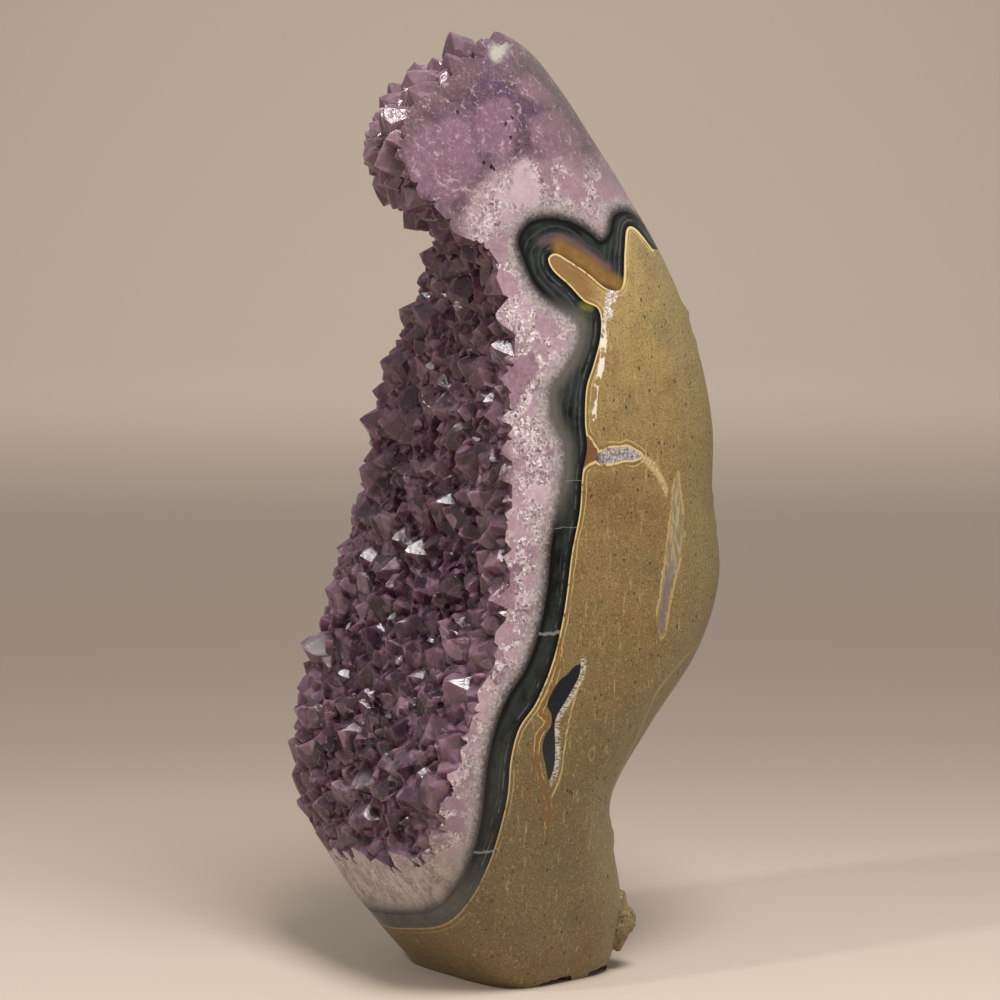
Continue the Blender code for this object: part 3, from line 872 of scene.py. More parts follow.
# %% Marks in the knob
PALE_LOBES = (
    ((-42.5, 205.7), (-41.4, 210.4), (-38.4, 213.9), (-34.1, 215.7), (-29.9, 216.6), (-25.9, 216.3),
     (-23.5, 214.4), (-22.6, 211.3), (-22.4, 205.4), (-24.1, 200.7), (-28.4, 198), (-32.6, 196.9),
     (-36.4, 198.1), (-40.1, 199.1)),
    ((-22.1, 214.9), (-20.4, 218.4), (-17.4, 222), (-13.2, 222.4), (-10.4, 220.6), (-9.9, 217.1),
     (-10.8, 212.8), (-13.3, 208.8), (-17.7, 207.7), (-20.9, 210.1)),
    ((-5.8, 217), (0, 219), (4.5, 217.8), (8.3, 212), (9.7, 205.9), (2.4, 204.9), (-3.3, 207.4),
     (-6.8, 211.1)),
    ((-6.9, 227.6), (-0.4, 226), (2.6, 221.7), (-0.2, 219.6), (-5.2, 221.4), (-8.4, 223.6)),
)
PURPLE_PATCHES = (
    ((-19.4, 226.2), (-14.9, 226.6), (-11.4, 224.6), (-8.5, 221.9), (-5.5, 219.9), (-1.3, 220.2), (-2, 218.2),
     (-8.7, 217), (-10.6, 221), (-14, 223.4), (-18.2, 223)),
    ((8.5, 204.6), (11, 207), (13.6, 204), (16, 200.4), (12, 199.6), (8.6, 201.4)),
)
DARK_CORNER = ((-42.7, 213.9), (-40.7, 217.2), (-35.9, 221.6), (-30.8, 225.5), (-25.7, 229), (-20.2, 231),
               (-18.6, 228.4), (-23.8, 224.9), (-28.9, 221.5), (-33.7, 218.6), (-38.5, 214.7), (-41.4, 211.9))
GREEN_FLAKE = ((-12.7, 235.3), (-6.3, 236.6), (-7.7, 234.2), (-12, 230.9), (-14.1, 231.6), (-13.7, 233.7))
SPECKS = ((-26.3, 218.5), (-11.2, 216.9), (-13.3, 215.5), (-12.5, 212.1), (-8.1, 210.4), (-7.3, 211.9),
          (-20.7, 205.9), (-18.6, 204.9), (-18.1, 204.4))
NEAR_FROM = 6.0
RIM_FACING = (0.05, 0.45)
FAR_AWAY = 50.0

flat = in_layers(drawn[crust.name])
near_side = drawn[crust.name][:, 0] > NEAR_FROM


def deepest(outlines):
    """How deep each place of the crust is in any of some outlines, on the near side only."""
    depths = [depth_in(smooth_line(outline + outline[:1], step=1.2)[:-1], flat) for outline in outlines]
    return np.where(near_side, np.max(depths, axis=0), -FAR_AWAY)


store(crust, "pale_lobe", deepest(PALE_LOBES))
store(crust, "purple_patch", deepest(PURPLE_PATCHES))
store(crust, "green_flake", deepest([GREEN_FLAKE]))
store(crust, "dark_corner", deepest([DARK_CORNER]))
to_speck = np.min([np.linalg.norm(flat - speck, axis=1) for speck in SPECKS], axis=0)
store(crust, "speck", np.where(near_side, to_speck, FAR_AWAY))
store(crust, "turned", fade(vertex_normals(crust)[:, 1], *RIM_FACING))
print("Marks stored on the knob:", len(PALE_LOBES), "lobes,", len(SPECKS), "specks")

# %% [markdown]
# ## Writing finishes as sums
#
# A finish mixes many masks, and wiring each Math node by hand hides what it says. One small class wraps a
# socket, so that an expression adds the nodes, and one method makes any other node.

# %% Finish helpers
class Wire:
    """An output socket that takes part in expressions; each operator adds its Math node."""

    def __init__(self, finish, socket):
        self.finish, self.socket = finish, socket

    def __add__(self, other):
        return self.finish.math("ADD", self, other)

    def __sub__(self, other):
        return self.finish.math("SUBTRACT", self, other)

    def __rsub__(self, other):
        return self.finish.math("SUBTRACT", other, self)

    def __mul__(self, other):
        return self.finish.math("MULTIPLY", self, other)

    def __truediv__(self, other):
        return self.finish.math("DIVIDE", self, other)

    __radd__, __rmul__ = __add__, __mul__


class Finish:
    """A material with one shader, and the nodes that colour it."""

    def __init__(self, name):
        self.material = bpy.data.materials.get(name) or bpy.data.materials.new(name)
        self.material.use_nodes = True
        self.tree = self.material.node_tree
        self.shader = self.tree.nodes["Principled BSDF"]

    def node(self, kind, settings, inputs, output=0):
        """Any node: its settings first, then the values or links of its sockets."""
        made = self.tree.nodes.new("ShaderNode" + kind)
        for name, value in settings.items():
            setattr(made, name, value)
        for socket, value in inputs.items():
            self.feed(made.inputs[socket], value)
        return Wire(self, made.outputs[output])

    def feed(self, socket, value):
        if isinstance(value, Wire):
            self.tree.links.new(value.socket, socket)
        else:
            socket.default_value = tint(*value) if socket.type == "RGBA" else value

    def ramp(self, value, first, *between_and_last):
        """Colours at places along a value from 0 to 1."""
        made = self.node("ValToRGB", {}, {0: value})
        stops = made.socket.node.color_ramp.elements
        *between, last = between_and_last
        for stop, (place, colour) in ((stops[0], first), (stops[1], last)):
            stop.position, stop.color = place, tint(*colour)
        for place, colour in between:
            stops.new(place).color = tint(*colour)
        return made

    def math(self, operation, *values):
        return self.node("Math", {"operation": operation}, dict(enumerate(values)))

    def attribute(self, name):
        return self.node("Attribute", {"attribute_name": name}, {}, "Fac")

    def axis(self, number):
        """How far a place is along X, Y or Z, in millimetres."""
        return self.node("SeparateXYZ", {}, {0: self.space()}, number)

    def space(self, stretch=(1, 1, 1)):
        """Object coordinates in millimetres, drawn out along an axis by its stretch."""
        place = self.node("TexCoord", {}, {}, "Object")
        return self.node("Mapping", {}, {"Vector": place, "Scale": [1 / MM / s for s in stretch]})

    def warped(self, size, amount, stretch=(1, 1, 1)):
        """The same space pushed about by smooth noise, so that cells in it lose their straight sides."""
        push = self.node("TexNoise", {}, {"Vector": self.space(), "Scale": 1 / size, "Detail": 2.0}, 1)
        inputs = {0: push, 1: [amount] * 3, 2: self.space(stretch)}
        return self.node("VectorMath", {"operation": "MULTIPLY_ADD"}, inputs)

    def noise(self, size, detail=2.0, space=None, roughness=0.55):
        """Smooth noise from 0 to 1 whose lumps are about so many millimetres wide."""
        inputs = {"Vector": space or self.space(), "Scale": 1 / size, "Detail": detail}
        return self.node("TexNoise", {}, {**inputs, "Roughness": roughness}, 0)

    def cells(self, size, feature="F1", output="Distance", space=None, randomness=1.0):
        inputs = {"Vector": space or self.space(), "Scale": 1 / size, "Randomness": randomness}
        return self.node("TexVoronoi", {"feature": feature}, inputs, output)

    def cell_shade(self, size, space):
        """One random value from 0 to 1 for each cell."""
        return self.node("SeparateColor", {}, {0: self.cells(size, "F1", "Color", space)}, 0)

    def ease(self, value, start, end):
        """0 before start and 1 after end, with a soft change."""
        inputs = {"Value": value, "From Min": start, "From Max": end}
        return self.node("MapRange", {"interpolation_type": "SMOOTHSTEP"}, inputs)

    def patchy(self, size, detail, start, end):
        """A mask of soft patches."""
        return self.ease(self.noise(size, detail), start, end)

    def between(self, value, start, full, fades, end):
        """A mask that comes in from start to full and goes out again from fades to end."""
        return self.ease(value, start, full) * self.ease(value, end, fades)

    def line(self, value, centre, half, soft):
        """A mask of a line where the value is near its centre."""
        away = self.math("ABSOLUTE", value - centre)
        return self.ease(away, half + soft, half)

    def mix(self, first, second, factor):
        return self.node("Mix", {"data_type": "RGBA"}, {0: factor, 6: first, 7: second}, 2)

    def lay(self, colour, mask):
        """Lays a colour over the finish's colour so far, where a mask lets it."""
        self.colour = self.mix(self.colour, colour, mask)

    def bump(self, height, strength, distance):
        inputs = {"Height": height, "Strength": strength, "Distance": distance}
        return self.node("Bump", {}, inputs)

    def finish(self, **sockets):
        for name, value in sockets.items():
            self.feed(self.shader.inputs[name.replace("_", " ")], value)

    def put_on(self, piece):
        piece.data.materials.clear()
        piece.data.materials.append(self.material)


def tint(red, green, blue):
    """A colour as a screen shows it, from 0 to 255, turned into the values that light adds up in."""
    levels = [c / 255 for c in (red, green, blue)]
    return [c / 12.92 if c <= 0.04045 else ((c + 0.055) / 1.055) ** 2.4 for c in levels] + [1.0]


print("A mid grey in linear light:", [round(c, 3) for c in tint(128, 128, 128)])

# %% [markdown]
# ## Free amethyst faces
#
# Natural faces are glassy, with faint growth steps and a breath of dust. Amethyst is quartz, so light bends
# by 1.544 at its surface, and part of the violet is absorption inside the stone. A painted purple alone would
# stay flat; clear faces over a milky core darken with depth by themselves.

# %% Amethyst
VIOLET_LEFT = (0.68, 0.46, 0.62, 1)
VIOLET_DENSITY = 90
amethyst = Finish("free amethyst faces")
steps = amethyst.noise(1.3, 3, amethyst.space((1, 1, 0.3)))
patches = amethyst.noise(9, 3)
inside_view = amethyst.warped(3.5, 4.0, (1, 1, 1.5))
shards = amethyst.cell_shade(3.2, inside_view)
seams = amethyst.cells(3.2, "DISTANCE_TO_EDGE", 0, inside_view)
veils = amethyst.noise(1.6, 4, amethyst.space((1, 1, 2)))
dust = amethyst.patchy(3.0, 4, 0.56, 0.76)
sparks = amethyst.patchy(0.5, 2, 0.6, 0.72) * amethyst.patchy(5, 2, 0.46, 0.6)
amethyst.colour = amethyst.ramp(
    shards * 0.45 + patches * 0.3 + veils * 0.5 - 0.12,
    (0.22, (46, 28, 40)),
    (0.44, (86, 60, 76)),
    (0.62, (126, 95, 111)),
    (0.82, (184, 152, 168)),
)
across = amethyst.axis(0)
near_cut = amethyst.ease(amethyst.math("ABSOLUTE", across + (patches - 0.5) * 16), 20, 36)
amethyst.lay((170, 134, 150), near_cut * (0.3 + shards * 0.45))
height = amethyst.axis(2)
amethyst.lay((150, 120, 134), amethyst.ease(height, 105, 165) * 0.22)
amethyst.lay((168, 136, 146), amethyst.ease(height, 182, 202) * (0.3 + patches * 0.4))
amethyst.lay((150, 126, 136), amethyst.ease(height, 50, 30) * (0.2 + patches * 0.6))
clear_seam = amethyst.ease(seams, 0.06, 0.0) * amethyst.ease(veils, 0.45, 0.6)
amethyst.lay((168, 138, 150), clear_seam * 0.5)
amethyst.lay((120, 98, 104), dust * 0.35)
amethyst.finish(
    Base_Color=amethyst.colour,
    Roughness=0.03 + dust * 0.18,
    Normal=amethyst.bump(steps + veils * 2.0 + sparks * 2.0, 0.4, 0.2 * MM),
    IOR=1.544,
    Transmission_Weight=0.42,
    Subsurface_Weight=1.0,
    Subsurface_Radius=(1.0, 0.7, 0.85),
    Subsurface_Scale=4.0 * MM,
)
absorb = amethyst.tree.nodes.new("ShaderNodeVolumeAbsorption")
absorb.inputs["Color"].default_value = VIOLET_LEFT
absorb.inputs["Density"].default_value = VIOLET_DENSITY
amethyst.tree.links.new(absorb.outputs[0], amethyst.tree.nodes["Material Output"].inputs["Volume"])
print("Free faces:", len(amethyst.tree.nodes), "nodes")

# %% Milky core
milky = Finish("milky quartz")
veil = milky.patchy(4, 4, 0.4, 0.65)
milky.finish(Base_Color=milky.mix((176, 140, 160), (236, 214, 222), veil), Roughness=0.8)
milky.put_on(core)

# %% [markdown]
# ## Polished quartz
#
# Where the wheel cut the crust, crystals show in section: mauve cells with a white crackle between them, a
# grey salted zone beside the agate, and a soft dark edge. Farther from the agate the violet deepens. The
# cells lie in the two stored distances, so that they stand square to the band.

# %% Polished quartz
UPPER_STRIP = (112, 124, 164, 172)
polish = Finish("polished quartz")
depth = polish.attribute("from_quartz")
along = polish.attribute("along_quartz")
wander = polish.noise(6, 3)
fine = polish.noise(1.2, 3)
soft = polish.noise(2.6, 4)
zone = depth + (wander - 0.5) * 6.0

shaken = polish.warped(1.8, 1.6)
grain = polish.cell_shade(0.6, shaken)
web = polish.cells(1.7, "DISTANCE_TO_EDGE", 0, shaken)
sugar = polish.ramp(
    grain,
    (0.04, (92, 74, 80)),
    (0.2, (146, 124, 130)),
    (0.78, (196, 178, 180)),
    (0.96, (244, 234, 234)),
)
threads = polish.ease(web, 0.11, 0.02) * polish.patchy(2.2, 3, 0.4, 0.6)
sugar = polish.mix(sugar, (236, 222, 218), threads * 0.85)
sugar = polish.mix(sugar, (146, 138, 134), polish.ease(zone, 8.0, 3.0) * 0.4)

beside = polish.node("CombineXYZ", {}, {0: along + wander * 9.0, 1: (depth + wander * 9.0) * 0.5, 2: 0.0})
cell_edge = polish.cells(5.8, "DISTANCE_TO_EDGE", 0, beside)
cell_tint = polish.cell_shade(5.8, beside)
inner = polish.ramp(
    cell_tint * 0.65 + soft * 0.4,
    (0.15, (118, 86, 102)),
    (0.42, (152, 120, 134)),
    (0.66, (180, 150, 160)),
    (0.9, (210, 188, 194)),
)
inner = polish.mix(inner, sugar, 0.1)
between = polish.ease(cell_edge + (fine - 0.5) * 0.2, 0.17, 0.06) * polish.ease(zone, 19.0, 9.0)
between = between * polish.patchy(4, 2, 0.26, 0.44)
salted = polish.math("MAXIMUM", between, polish.ease(zone, 5.0, 2.2))
strip = polish.mix(inner, sugar, salted * 0.9)
height = polish.axis(2)
strip = polish.mix(strip, (120, 90, 100), polish.ease(zone, 12.0, 20.0) * 0.5)
strip = polish.mix(strip, (122, 98, 102), polish.ease(height, 172, 186) * 0.27)

loose = polish.warped(7, 9.0)
deep_edge = polish.cells(8.5, "DISTANCE_TO_EDGE", 0, loose)
deep_tint = polish.cell_shade(8.5, loose)
deep = polish.ramp(
    deep_tint * 0.4 + soft * 0.4 + wander * 0.25,
    (0.1, (62, 39, 54)),
    (0.4, (80, 55, 69)),
    (0.68, (102, 76, 90)),
    (0.95, (128, 98, 112)),
)
lobe = polish.attribute("pale_lobe") + (wander - 0.5) * 5.0 + (soft - 0.5) * 3.0
deep = polish.mix(deep, polish.mix((104, 74, 92), (142, 108, 124), soft), polish.ease(lobe, -1.2, 1.3) * 0.85)
purple = polish.attribute("purple_patch") + (fine - 0.5) * 2
deep = polish.mix(deep, (78, 48, 80), polish.ease(purple, -1.0, 1.0) * 0.8)
flake = polish.attribute("green_flake") + fine * 2.0
deep = polish.mix(deep, (196, 198, 178), polish.ease(flake, 0.0, 2.4) * 0.65)
corner = polish.attribute("dark_corner") + (wander - 0.5) * 4.0
deep = polish.mix(deep, polish.mix((82, 56, 66), (112, 84, 88), soft), polish.ease(corner, -3.0, 1.5) * 0.8)
healed = polish.line(deep_edge, 0.0, 0.008, 0.03) * polish.patchy(3, 2, 0.5, 0.62)
glints = polish.ease(grain, 0.86, 0.97) * polish.patchy(3, 2, 0.42, 0.6)
deep = polish.mix(deep, sugar, 0.04 + threads * 0.07)
deep = polish.mix(deep, (214, 196, 200), polish.math("MAXIMUM", healed * 0.35, glints * 0.3))
face = polish.mix(strip, deep, polish.ease(zone, 13.0, 18.0))
speck = polish.attribute("speck") + (fine - 0.5) * 1.6
face = polish.mix(face, (16, 9, 12), polish.ease(speck, 0.6, 0.3))

face = polish.mix(face, (112, 98, 98), polish.ease(height, 75, 30) * 0.35)
knob_rim = polish.attribute("turned") * polish.ease(height, 190, 202)
face = polish.mix(face, (98, 88, 80), knob_rim * 0.55)
columns = polish.noise(2.4, 4, polish.space((1, 1, 3)), 0.7)
low_end = polish.ease(height + (wander - 0.5) * 16, 46, 28)
column_tint = polish.mix((92, 74, 88), (196, 186, 176), polish.ease(columns, 0.3, 0.7))
face = polish.mix(face, polish.mix(column_tint, sugar, threads * 0.4), low_end * 0.7)
upper_strip = polish.between(height, *UPPER_STRIP)
veil = polish.between(depth, 1.2, 2.4, 2.6, 4.6)
face = polish.mix(face, (146, 138, 132), veil * 0.45)
dark_edge = polish.ease(depth + (fine - 0.5) * 0.8, 3.0, 0.1)
face = polish.mix(face, polish.mix((24, 25, 24), (86, 82, 76), upper_strip), dark_edge * 0.95)
relief = polish.bump(grain + fine, 0.12, 0.2 * MM)
shine = 0.16 + grain * 0.14
polish.finish(Base_Color=face, Roughness=shine, Normal=relief, Coat_Weight=0.2, Coat_Roughness=0.07)
print("Polished quartz:", len(polish.tree.nodes), "nodes")

# %% [markdown]
# ## Agate
#
# The agate was laid down in films on the rock, so every line in it runs beside the border. It is nearly black
# with a green cast, greyer low down and towards the quartz, and amber above the finger.

# %% Agate
AMBER_LINE = ((-1.5, 184.6), (2, 183.2), (6, 180.6), (10, 177.2), (14, 175.6))
PINK_LINE = ((-7, 186.2), (-2, 187.2), (3, 185.8), (8, 182.2), (12, 179.5))
GREEN_SPOT = ((3.5, 170.2), (5.5, 169.6))
HAIRS = ((3, 1.6, 126.6, 0.02, 0.1), (3, 1.6, 115.4, 0.02, 0.1), (2.5, 2.0, 90.4, 0.25, 0.3),
         (2.5, 1.5, 38.6, 0.15, 0.3))
for name, line in (("amber", AMBER_LINE), ("pink", PINK_LINE), ("green", GREEN_SPOT)):
    store(agate, name, distance_to(smooth_line(line), in_layers(drawn[agate.name]))[0])

band = Finish("banded agate")
from_rock = band.attribute("from_rock")
from_quartz = band.attribute("from_quartz")
ripple = band.noise(5, 3)
height = band.axis(2)
low = band.ease(height, 60, 30)
inner = band.ease(from_rock, 0.8, 1.8) * band.ease(from_quartz, 0.6, 1.8)
films = band.math("SINE", from_rock * 3.4 + ripple * 9.0)
band.colour = band.mix((7, 9, 9), (40, 46, 43), inner * band.ease(ripple, 0.3, 0.6) * (1.0 - low * 0.85))
band.lay((72, 76, 72), band.ease(films, 0.2, 1.0) * inner * band.ease(height, 120, 150) * 0.4)
first_line = band.line(from_rock + ripple * 0.7, 1.9, 0.1, 0.22) * band.patchy(3, 2, 0.4, 0.58)
second_line = band.line(from_rock + ripple * 0.9, 3.1, 0.06, 0.3) * band.patchy(4, 2, 0.45, 0.6)
third_line = band.line(from_rock + ripple * 0.5, 1.2, 0.03, 0.12)
band.lay((110, 110, 106), first_line * (0.4 + low * 0.3))
band.lay((74, 80, 80), second_line * (0.3 + low * 0.5))
band.lay((64, 70, 66), third_line * 0.3)
band.lay((104, 100, 100), low * inner * band.patchy(2.0, 3, 0.5, 0.72) * 0.2)
band.lay(band.mix((58, 58, 54), (112, 108, 102), ripple), band.ease(height, 38, 26) * 0.8)
upper_strip = band.between(height, *UPPER_STRIP)
smoke = band.ease(from_quartz + ripple * 2.4, 4.8, 1.0) * upper_strip
band.lay((106, 101, 92), smoke * 0.85)
band.lay((120, 92, 96), band.ease(band.attribute("pink") + ripple * 2.4, 3.2, 0.9) * 0.55)
amber = band.mix((100, 70, 38), (164, 124, 62), band.noise(2.5, 3))
band.lay(amber, band.ease(band.attribute("amber") + ripple * 2.4, 4.6, 2.0) * 0.85)
band.lay((132, 128, 48), band.ease(band.attribute("green") + ripple * 3.0, 3.4, 1.4) * 0.55)
hair = 0.0
for size, shake, centre, half, soft in HAIRS:
    hair = band.line(height + band.noise(size, 2) * shake, centre, half, soft) + hair
band.lay((150, 146, 138), band.math("MINIMUM", hair, 1.0) * 0.6)
band.finish(
    Base_Color=band.colour,
    Roughness=0.1 + ripple * 0.08,
    Specular_IOR_Level=0.32,
    Coat_Weight=0.05,
    Coat_Roughness=0.05,
)
band.put_on(agate)
print("Agate:", len(band.tree.nodes), "nodes")

# %% [markdown]
# ## Basalt
#
# Ground basalt is olive brown, with dark pores, pale upright flecks and a satin polish. Its colour is painted
# lighter and more golden above and darker below, as painted light falling from above. Cream and rust lines
# follow its border with the agate, because iron came in along it. The weathered back is greyer and dull.

# %% Basalt
rock = Finish("olive basalt")
rim = rock.attribute("rim")
weathered = rock.attribute("weathered")
height = rock.axis(2)
mottle = rock.noise(5, 4)
upright = rock.noise(1.1, 3, rock.space((1, 1, 6)))
grain = rock.noise(0.5, 3)
patch = rock.noise(14, 3)
# Painted light from above: the colour gets lighter and more golden with height, and darker low down.
rock.colour = rock.ramp(
    height / 225.0 + (mottle - 0.5) * 0.3,
    (0.0, (124, 102, 66)),
    (0.2, (106, 89, 54)),
    (0.55, (139, 115, 69)),
    (1.0, (186, 160, 102)),
)
rock.lay((118, 80, 46), rock.ease(patch, 0.54, 0.72) * 0.5)
rock.lay((98, 92, 60), rock.ease(patch, 0.46, 0.3) * 0.45)
rock.lay((196, 176, 126), rock.ease(upright, 0.58, 0.72) * 0.35)
rock.lay((134, 122, 86), rock.attribute("turned") * (0.25 + mottle * 0.6))
rock.lay((64, 52, 30), rock.ease(grain, 0.48, 0.3) * 0.6)
rock.lay((202, 180, 130), rock.ease(grain, 0.55, 0.7) * 0.36)
pore_size = rock.noise(4, 2) * 0.3
pores = rock.ease(rock.cells(2.2, space=rock.space((1, 1, 1.5))) - pore_size, 0.0, -0.05)
pin_holes = rock.ease(rock.cells(0.9) - rock.noise(6, 2) * 0.35, -0.02, -0.08)
rock.lay((52, 44, 30), pores * 0.75)
rock.lay((66, 56, 36), pin_holes * 0.6)
ovals = rock.cells(16, space=rock.space((1, 0.7, 1.3)))
rock.lay((168, 150, 110), rock.line(ovals, 0.075, 0.006, 0.018) * rock.ease(height, 90, 40) * 0.7)

fresh = 0.35 + rock.ease(height, 30, 80) * 0.65
rust = rock.ease(rim, 1.5, 0.5)
rock.lay((108, 78, 42), rust * 0.5 * fresh)
second = rock.line(rim + (mottle - 0.5) * 1.1, 1.3, 0.05, 0.16) * rock.patchy(7, 2, 0.38, 0.5)
rock.lay((214, 180, 112), second * 0.75 * fresh)
arch_side = rock.ease(rock.axis(1), 9.0, 11.0) * rock.ease(height, 168, 174)
cream = rock.line(rim, 0.2, 0.12, 0.2) * rock.patchy(2.2, 2, 0.3, 0.44)
cream = rock.math("MAXIMUM", cream, rock.ease(rim + (mottle - 0.5), 1.0, 0.5) * arch_side)
rock.lay((224, 202, 142), cream * 0.9 * fresh)
finger = rock.ease(rock.axis(1), 8.0, 2.0) * rock.ease(height, 166, 171)
rock.lay((128, 90, 46), finger * rock.ease(rim, 0.4, 1.0) * 0.75)

crackle = rock.ease(rock.noise(0.6, 3, roughness=0.75), 0.4, 0.62)
quartz_fill = rock.mix((104, 96, 104), (196, 186, 182), crackle)
jagged = (rock.noise(1.6, 3) - 0.5) * 1.4
notch = rock.attribute("notch") + jagged
level_vein = rock.attribute("level_vein") + jagged * 0.5
upright_vein = rock.attribute("upright_vein") + jagged
across = rock.axis(1)
rock.lay(rock.mix((84, 54, 30), (136, 84, 36), mottle), rock.ease(notch, -0.1, 0.4) * 0.95)
rock.lay(quartz_fill, rock.ease(level_vein, -0.1, 0.25) * 0.95)
rock.lay((34, 32, 40), rock.ease(level_vein, -0.1, 0.3) * rock.ease(across, 5.0, 2.2) * 0.9)
cream_quartz = rock.mix((176, 152, 96), (222, 204, 160), crackle)
rock.lay(cream_quartz, rock.ease(rock.attribute("blotch") + jagged, -0.3, 0.6) * 0.75)
left_edge = rock.line(upright_vein, -0.2, 0.15, 0.4) * rock.ease(mottle, 0.4, 0.52)
rock.lay((196, 170, 112), left_edge * 0.7)
streaks = rock.ease(rock.noise(0.8, 3, rock.space((1, 1, 4))), 0.4, 0.62)
lower_end = rock.ease(height, 110, 96) * rock.ease(upright_vein, 0.3, 0.9)
upright_fill = rock.mix((138, 122, 88), (178, 166, 134), streaks)
upright_fill = rock.mix(upright_fill, (112, 98, 106), lower_end * 0.85)
rock.lay(upright_fill, rock.ease(upright_vein, -0.2, 0.8) * 0.8)
# Painted highlight: a white streak along the upper border, drawn with a quartz crackle.
highlight_width = 0.7 + rock.ease(height, 152, 172) * 0.75
highlight_mask = rock.ease(rock.attribute("highlight_streak") - highlight_width + jagged * 0.9, 0.25, -0.1)
highlight_mask = highlight_mask * rock.patchy(3.2, 3, 0.4, 0.48)
highlight_colour = rock.mix((150, 132, 128), (250, 244, 232), crackle)
highlight_colour = rock.mix(highlight_colour, (244, 236, 222), rock.ease(height, 166, 158))
rock.lay(highlight_colour, highlight_mask * 0.85)
chain = rock.attribute("chain") + jagged * 0.8
rock.lay((122, 80, 40), rock.ease(chain, 1.2, 0.3) * 0.6)
rock.lay((206, 172, 106), rock.line(chain, 0.75, 0.05, 0.18) * rock.ease(mottle, 0.4, 0.55) * 0.8)
lens = rock.attribute("lens")
right_side = rock.ease(rock.attribute("lens_side"), 0.0, 1.0)
strokes = rock.ease(rock.noise(0.55, 2, rock.space((1, 2.2, 0.6))), 0.4, 0.56)
feathers = rock.line(lens + jagged * 0.5, -0.5, 0.4, 0.9) * strokes * right_side
rock.lay((208, 202, 190), feathers * 0.8)
rock.lay((206, 184, 128), rock.line(rock.attribute("fringe_line"), 0.0, 0.12, 0.25) * 0.7)
rock.lay((14, 17, 28), rock.ease(lens, -0.05, 0.2))
rock.lay((168, 150, 104), rock.line(rock.attribute("slant") + (mottle - 0.5) * 0.8, 0.0, 0.2, 0.4) * 0.55)
skin = rock.mix((92, 80, 58), (130, 114, 86), rock.patchy(3, 5, 0.4, 0.62))
rock.lay(skin, weathered)
relief = grain * 0.3 - pores - pin_holes * 0.5 + weathered * rock.noise(1.4, 5, roughness=0.7) * 4.0
shine = rock.ease(lens, 0.0, 0.25)
rock.finish(
    Base_Color=rock.colour,
    Roughness=0.36 + grain * 0.18 + weathered * 0.4 - shine * 0.28,
    Normal=rock.bump(relief, 0.3, 0.3 * MM),
)
rock.put_on(basalt)
print("Basalt:", len(rock.tree.nodes), "nodes")

# %% [markdown]
# ## The studio
#
# A paper sweep, darker a little way behind the stone, is floor and wall in one. A plane and a wall would show
# their corner. The camera stands where the photograph was taken from, a little above the stone. A small lamp
# makes the glints on the crystal faces, and two soft ones light the stone and the wall.

# %% Studio
CAMERA_AZIMUTH = math.radians(60)
CAMERA_ELEVATION = math.radians(7)
CAMERA_DISTANCE = 1.0
CAMERA_TARGET = Vector(to_frame((0, 0, 117)))
CAMERA_LENS = 144
SWEEP_BACK = 1.7
SWEEP_CURVE = 0.9
SWEEP_HALF_RUN = 3.0
SWEEP_HALF_WIDTH = 4.0


def towards(azimuth, elevation):
    """The direction of a place round the stone, seen from its middle."""
    level = math.cos(elevation)
    return Vector((math.sin(azimuth) * level, -math.cos(azimuth) * level, math.sin(elevation)))


to_camera = towards(CAMERA_AZIMUTH, CAMERA_ELEVATION)
bpy.ops.object.camera_add(location=CAMERA_TARGET + to_camera * CAMERA_DISTANCE)
camera = bpy.context.object
camera.rotation_euler = to_camera.to_track_quat("Z", "Y").to_euler()
camera.data.lens = CAMERA_LENS
bpy.context.scene.camera = camera

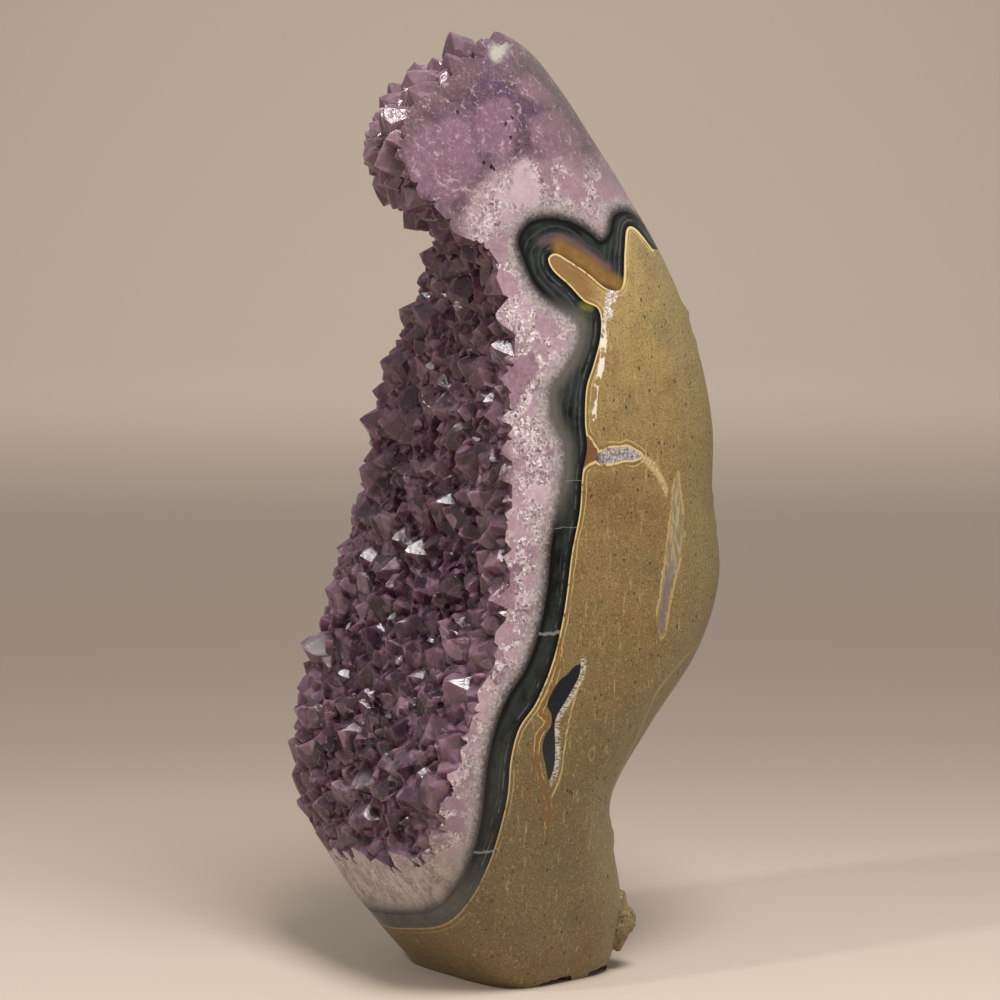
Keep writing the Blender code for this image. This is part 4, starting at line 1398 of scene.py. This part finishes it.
deselect()
bpy.ops.mesh.primitive_grid_add(x_subdivisions=1, y_subdivisions=48, size=2)
sweep = bpy.context.object
sweep.name = sweep.data.name = "paper_sweep"
paper = get_places(sweep)
run = paper[:, 1] * SWEEP_HALF_RUN
over = np.maximum(run - SWEEP_BACK, 0)
turn = np.minimum(over / SWEEP_CURVE, math.pi / 2)
level = np.minimum(run, SWEEP_BACK) + SWEEP_CURVE * np.sin(turn)
rise = SWEEP_CURVE * (1 - np.cos(turn)) + np.maximum(over - SWEEP_CURVE * math.pi / 2, 0)
away = Vector((-math.sin(CAMERA_AZIMUTH), math.cos(CAMERA_AZIMUTH)))
aside = Vector((away.y, -away.x))
sideward = np.outer(paper[:, 0] * SWEEP_HALF_WIDTH, aside)
set_places(sweep, np.column_stack([np.outer(level, away) + sideward, rise]))
make_active(sweep)
bpy.ops.object.shade_smooth()
card = Finish("pale paper")
behind = card.node("VectorMath", {"operation": "DOT_PRODUCT"}, {0: card.space(), 1: away.to_3d()}, 1)
shaded = card.ease(behind, -60, 340) * (1.0 - card.ease(behind, 420, 1050) * 0.8)
card.finish(Base_Color=card.mix((200, 186, 171), (166, 151, 136), shaded), Roughness=0.9)
card.put_on(sweep)


def softbox(name, azimuth, elevation, distance, size, watts, tone, aim=CAMERA_TARGET):
    """A soft light placed round the stone as the camera is, which looks at the stone or at another aim."""
    place = CAMERA_TARGET + towards(math.radians(azimuth), math.radians(elevation)) * distance
    bpy.ops.object.light_add(type="AREA", location=place)
    light = bpy.context.object
    light.name = name
    light.rotation_euler = (light.location - aim).to_track_quat("Z", "Y").to_euler()
    light.data.shape = "RECTANGLE"
    light.data.size, light.data.size_y = size
    light.data.energy, light.data.color = watts, tone
    return light


WALL_AIM = CAMERA_TARGET + away.to_3d() * 2.4 + Vector((0, 0, 0.2))
softbox("key_light", 4, 46, 1.3, (0.075, 0.055), 3.8, (1.0, 0.98, 0.95))
softbox("fill_light", 82, 62, 0.84, (0.34, 0.34), 8, (1.0, 0.98, 0.96))
softbox("wall_light", 240, 30, 1.5, (0.9, 0.3), 6.8, (1.0, 0.97, 0.94), aim=WALL_AIM)
world = bpy.context.scene.world or bpy.data.worlds.new("studio")
bpy.context.scene.world = world
world.use_nodes = True
background = world.node_tree.nodes["Background"].inputs
background["Color"].default_value = tint(208, 203, 202)
background["Strength"].default_value = 0.57
bpy.context.scene.view_settings.view_transform = "Standard"
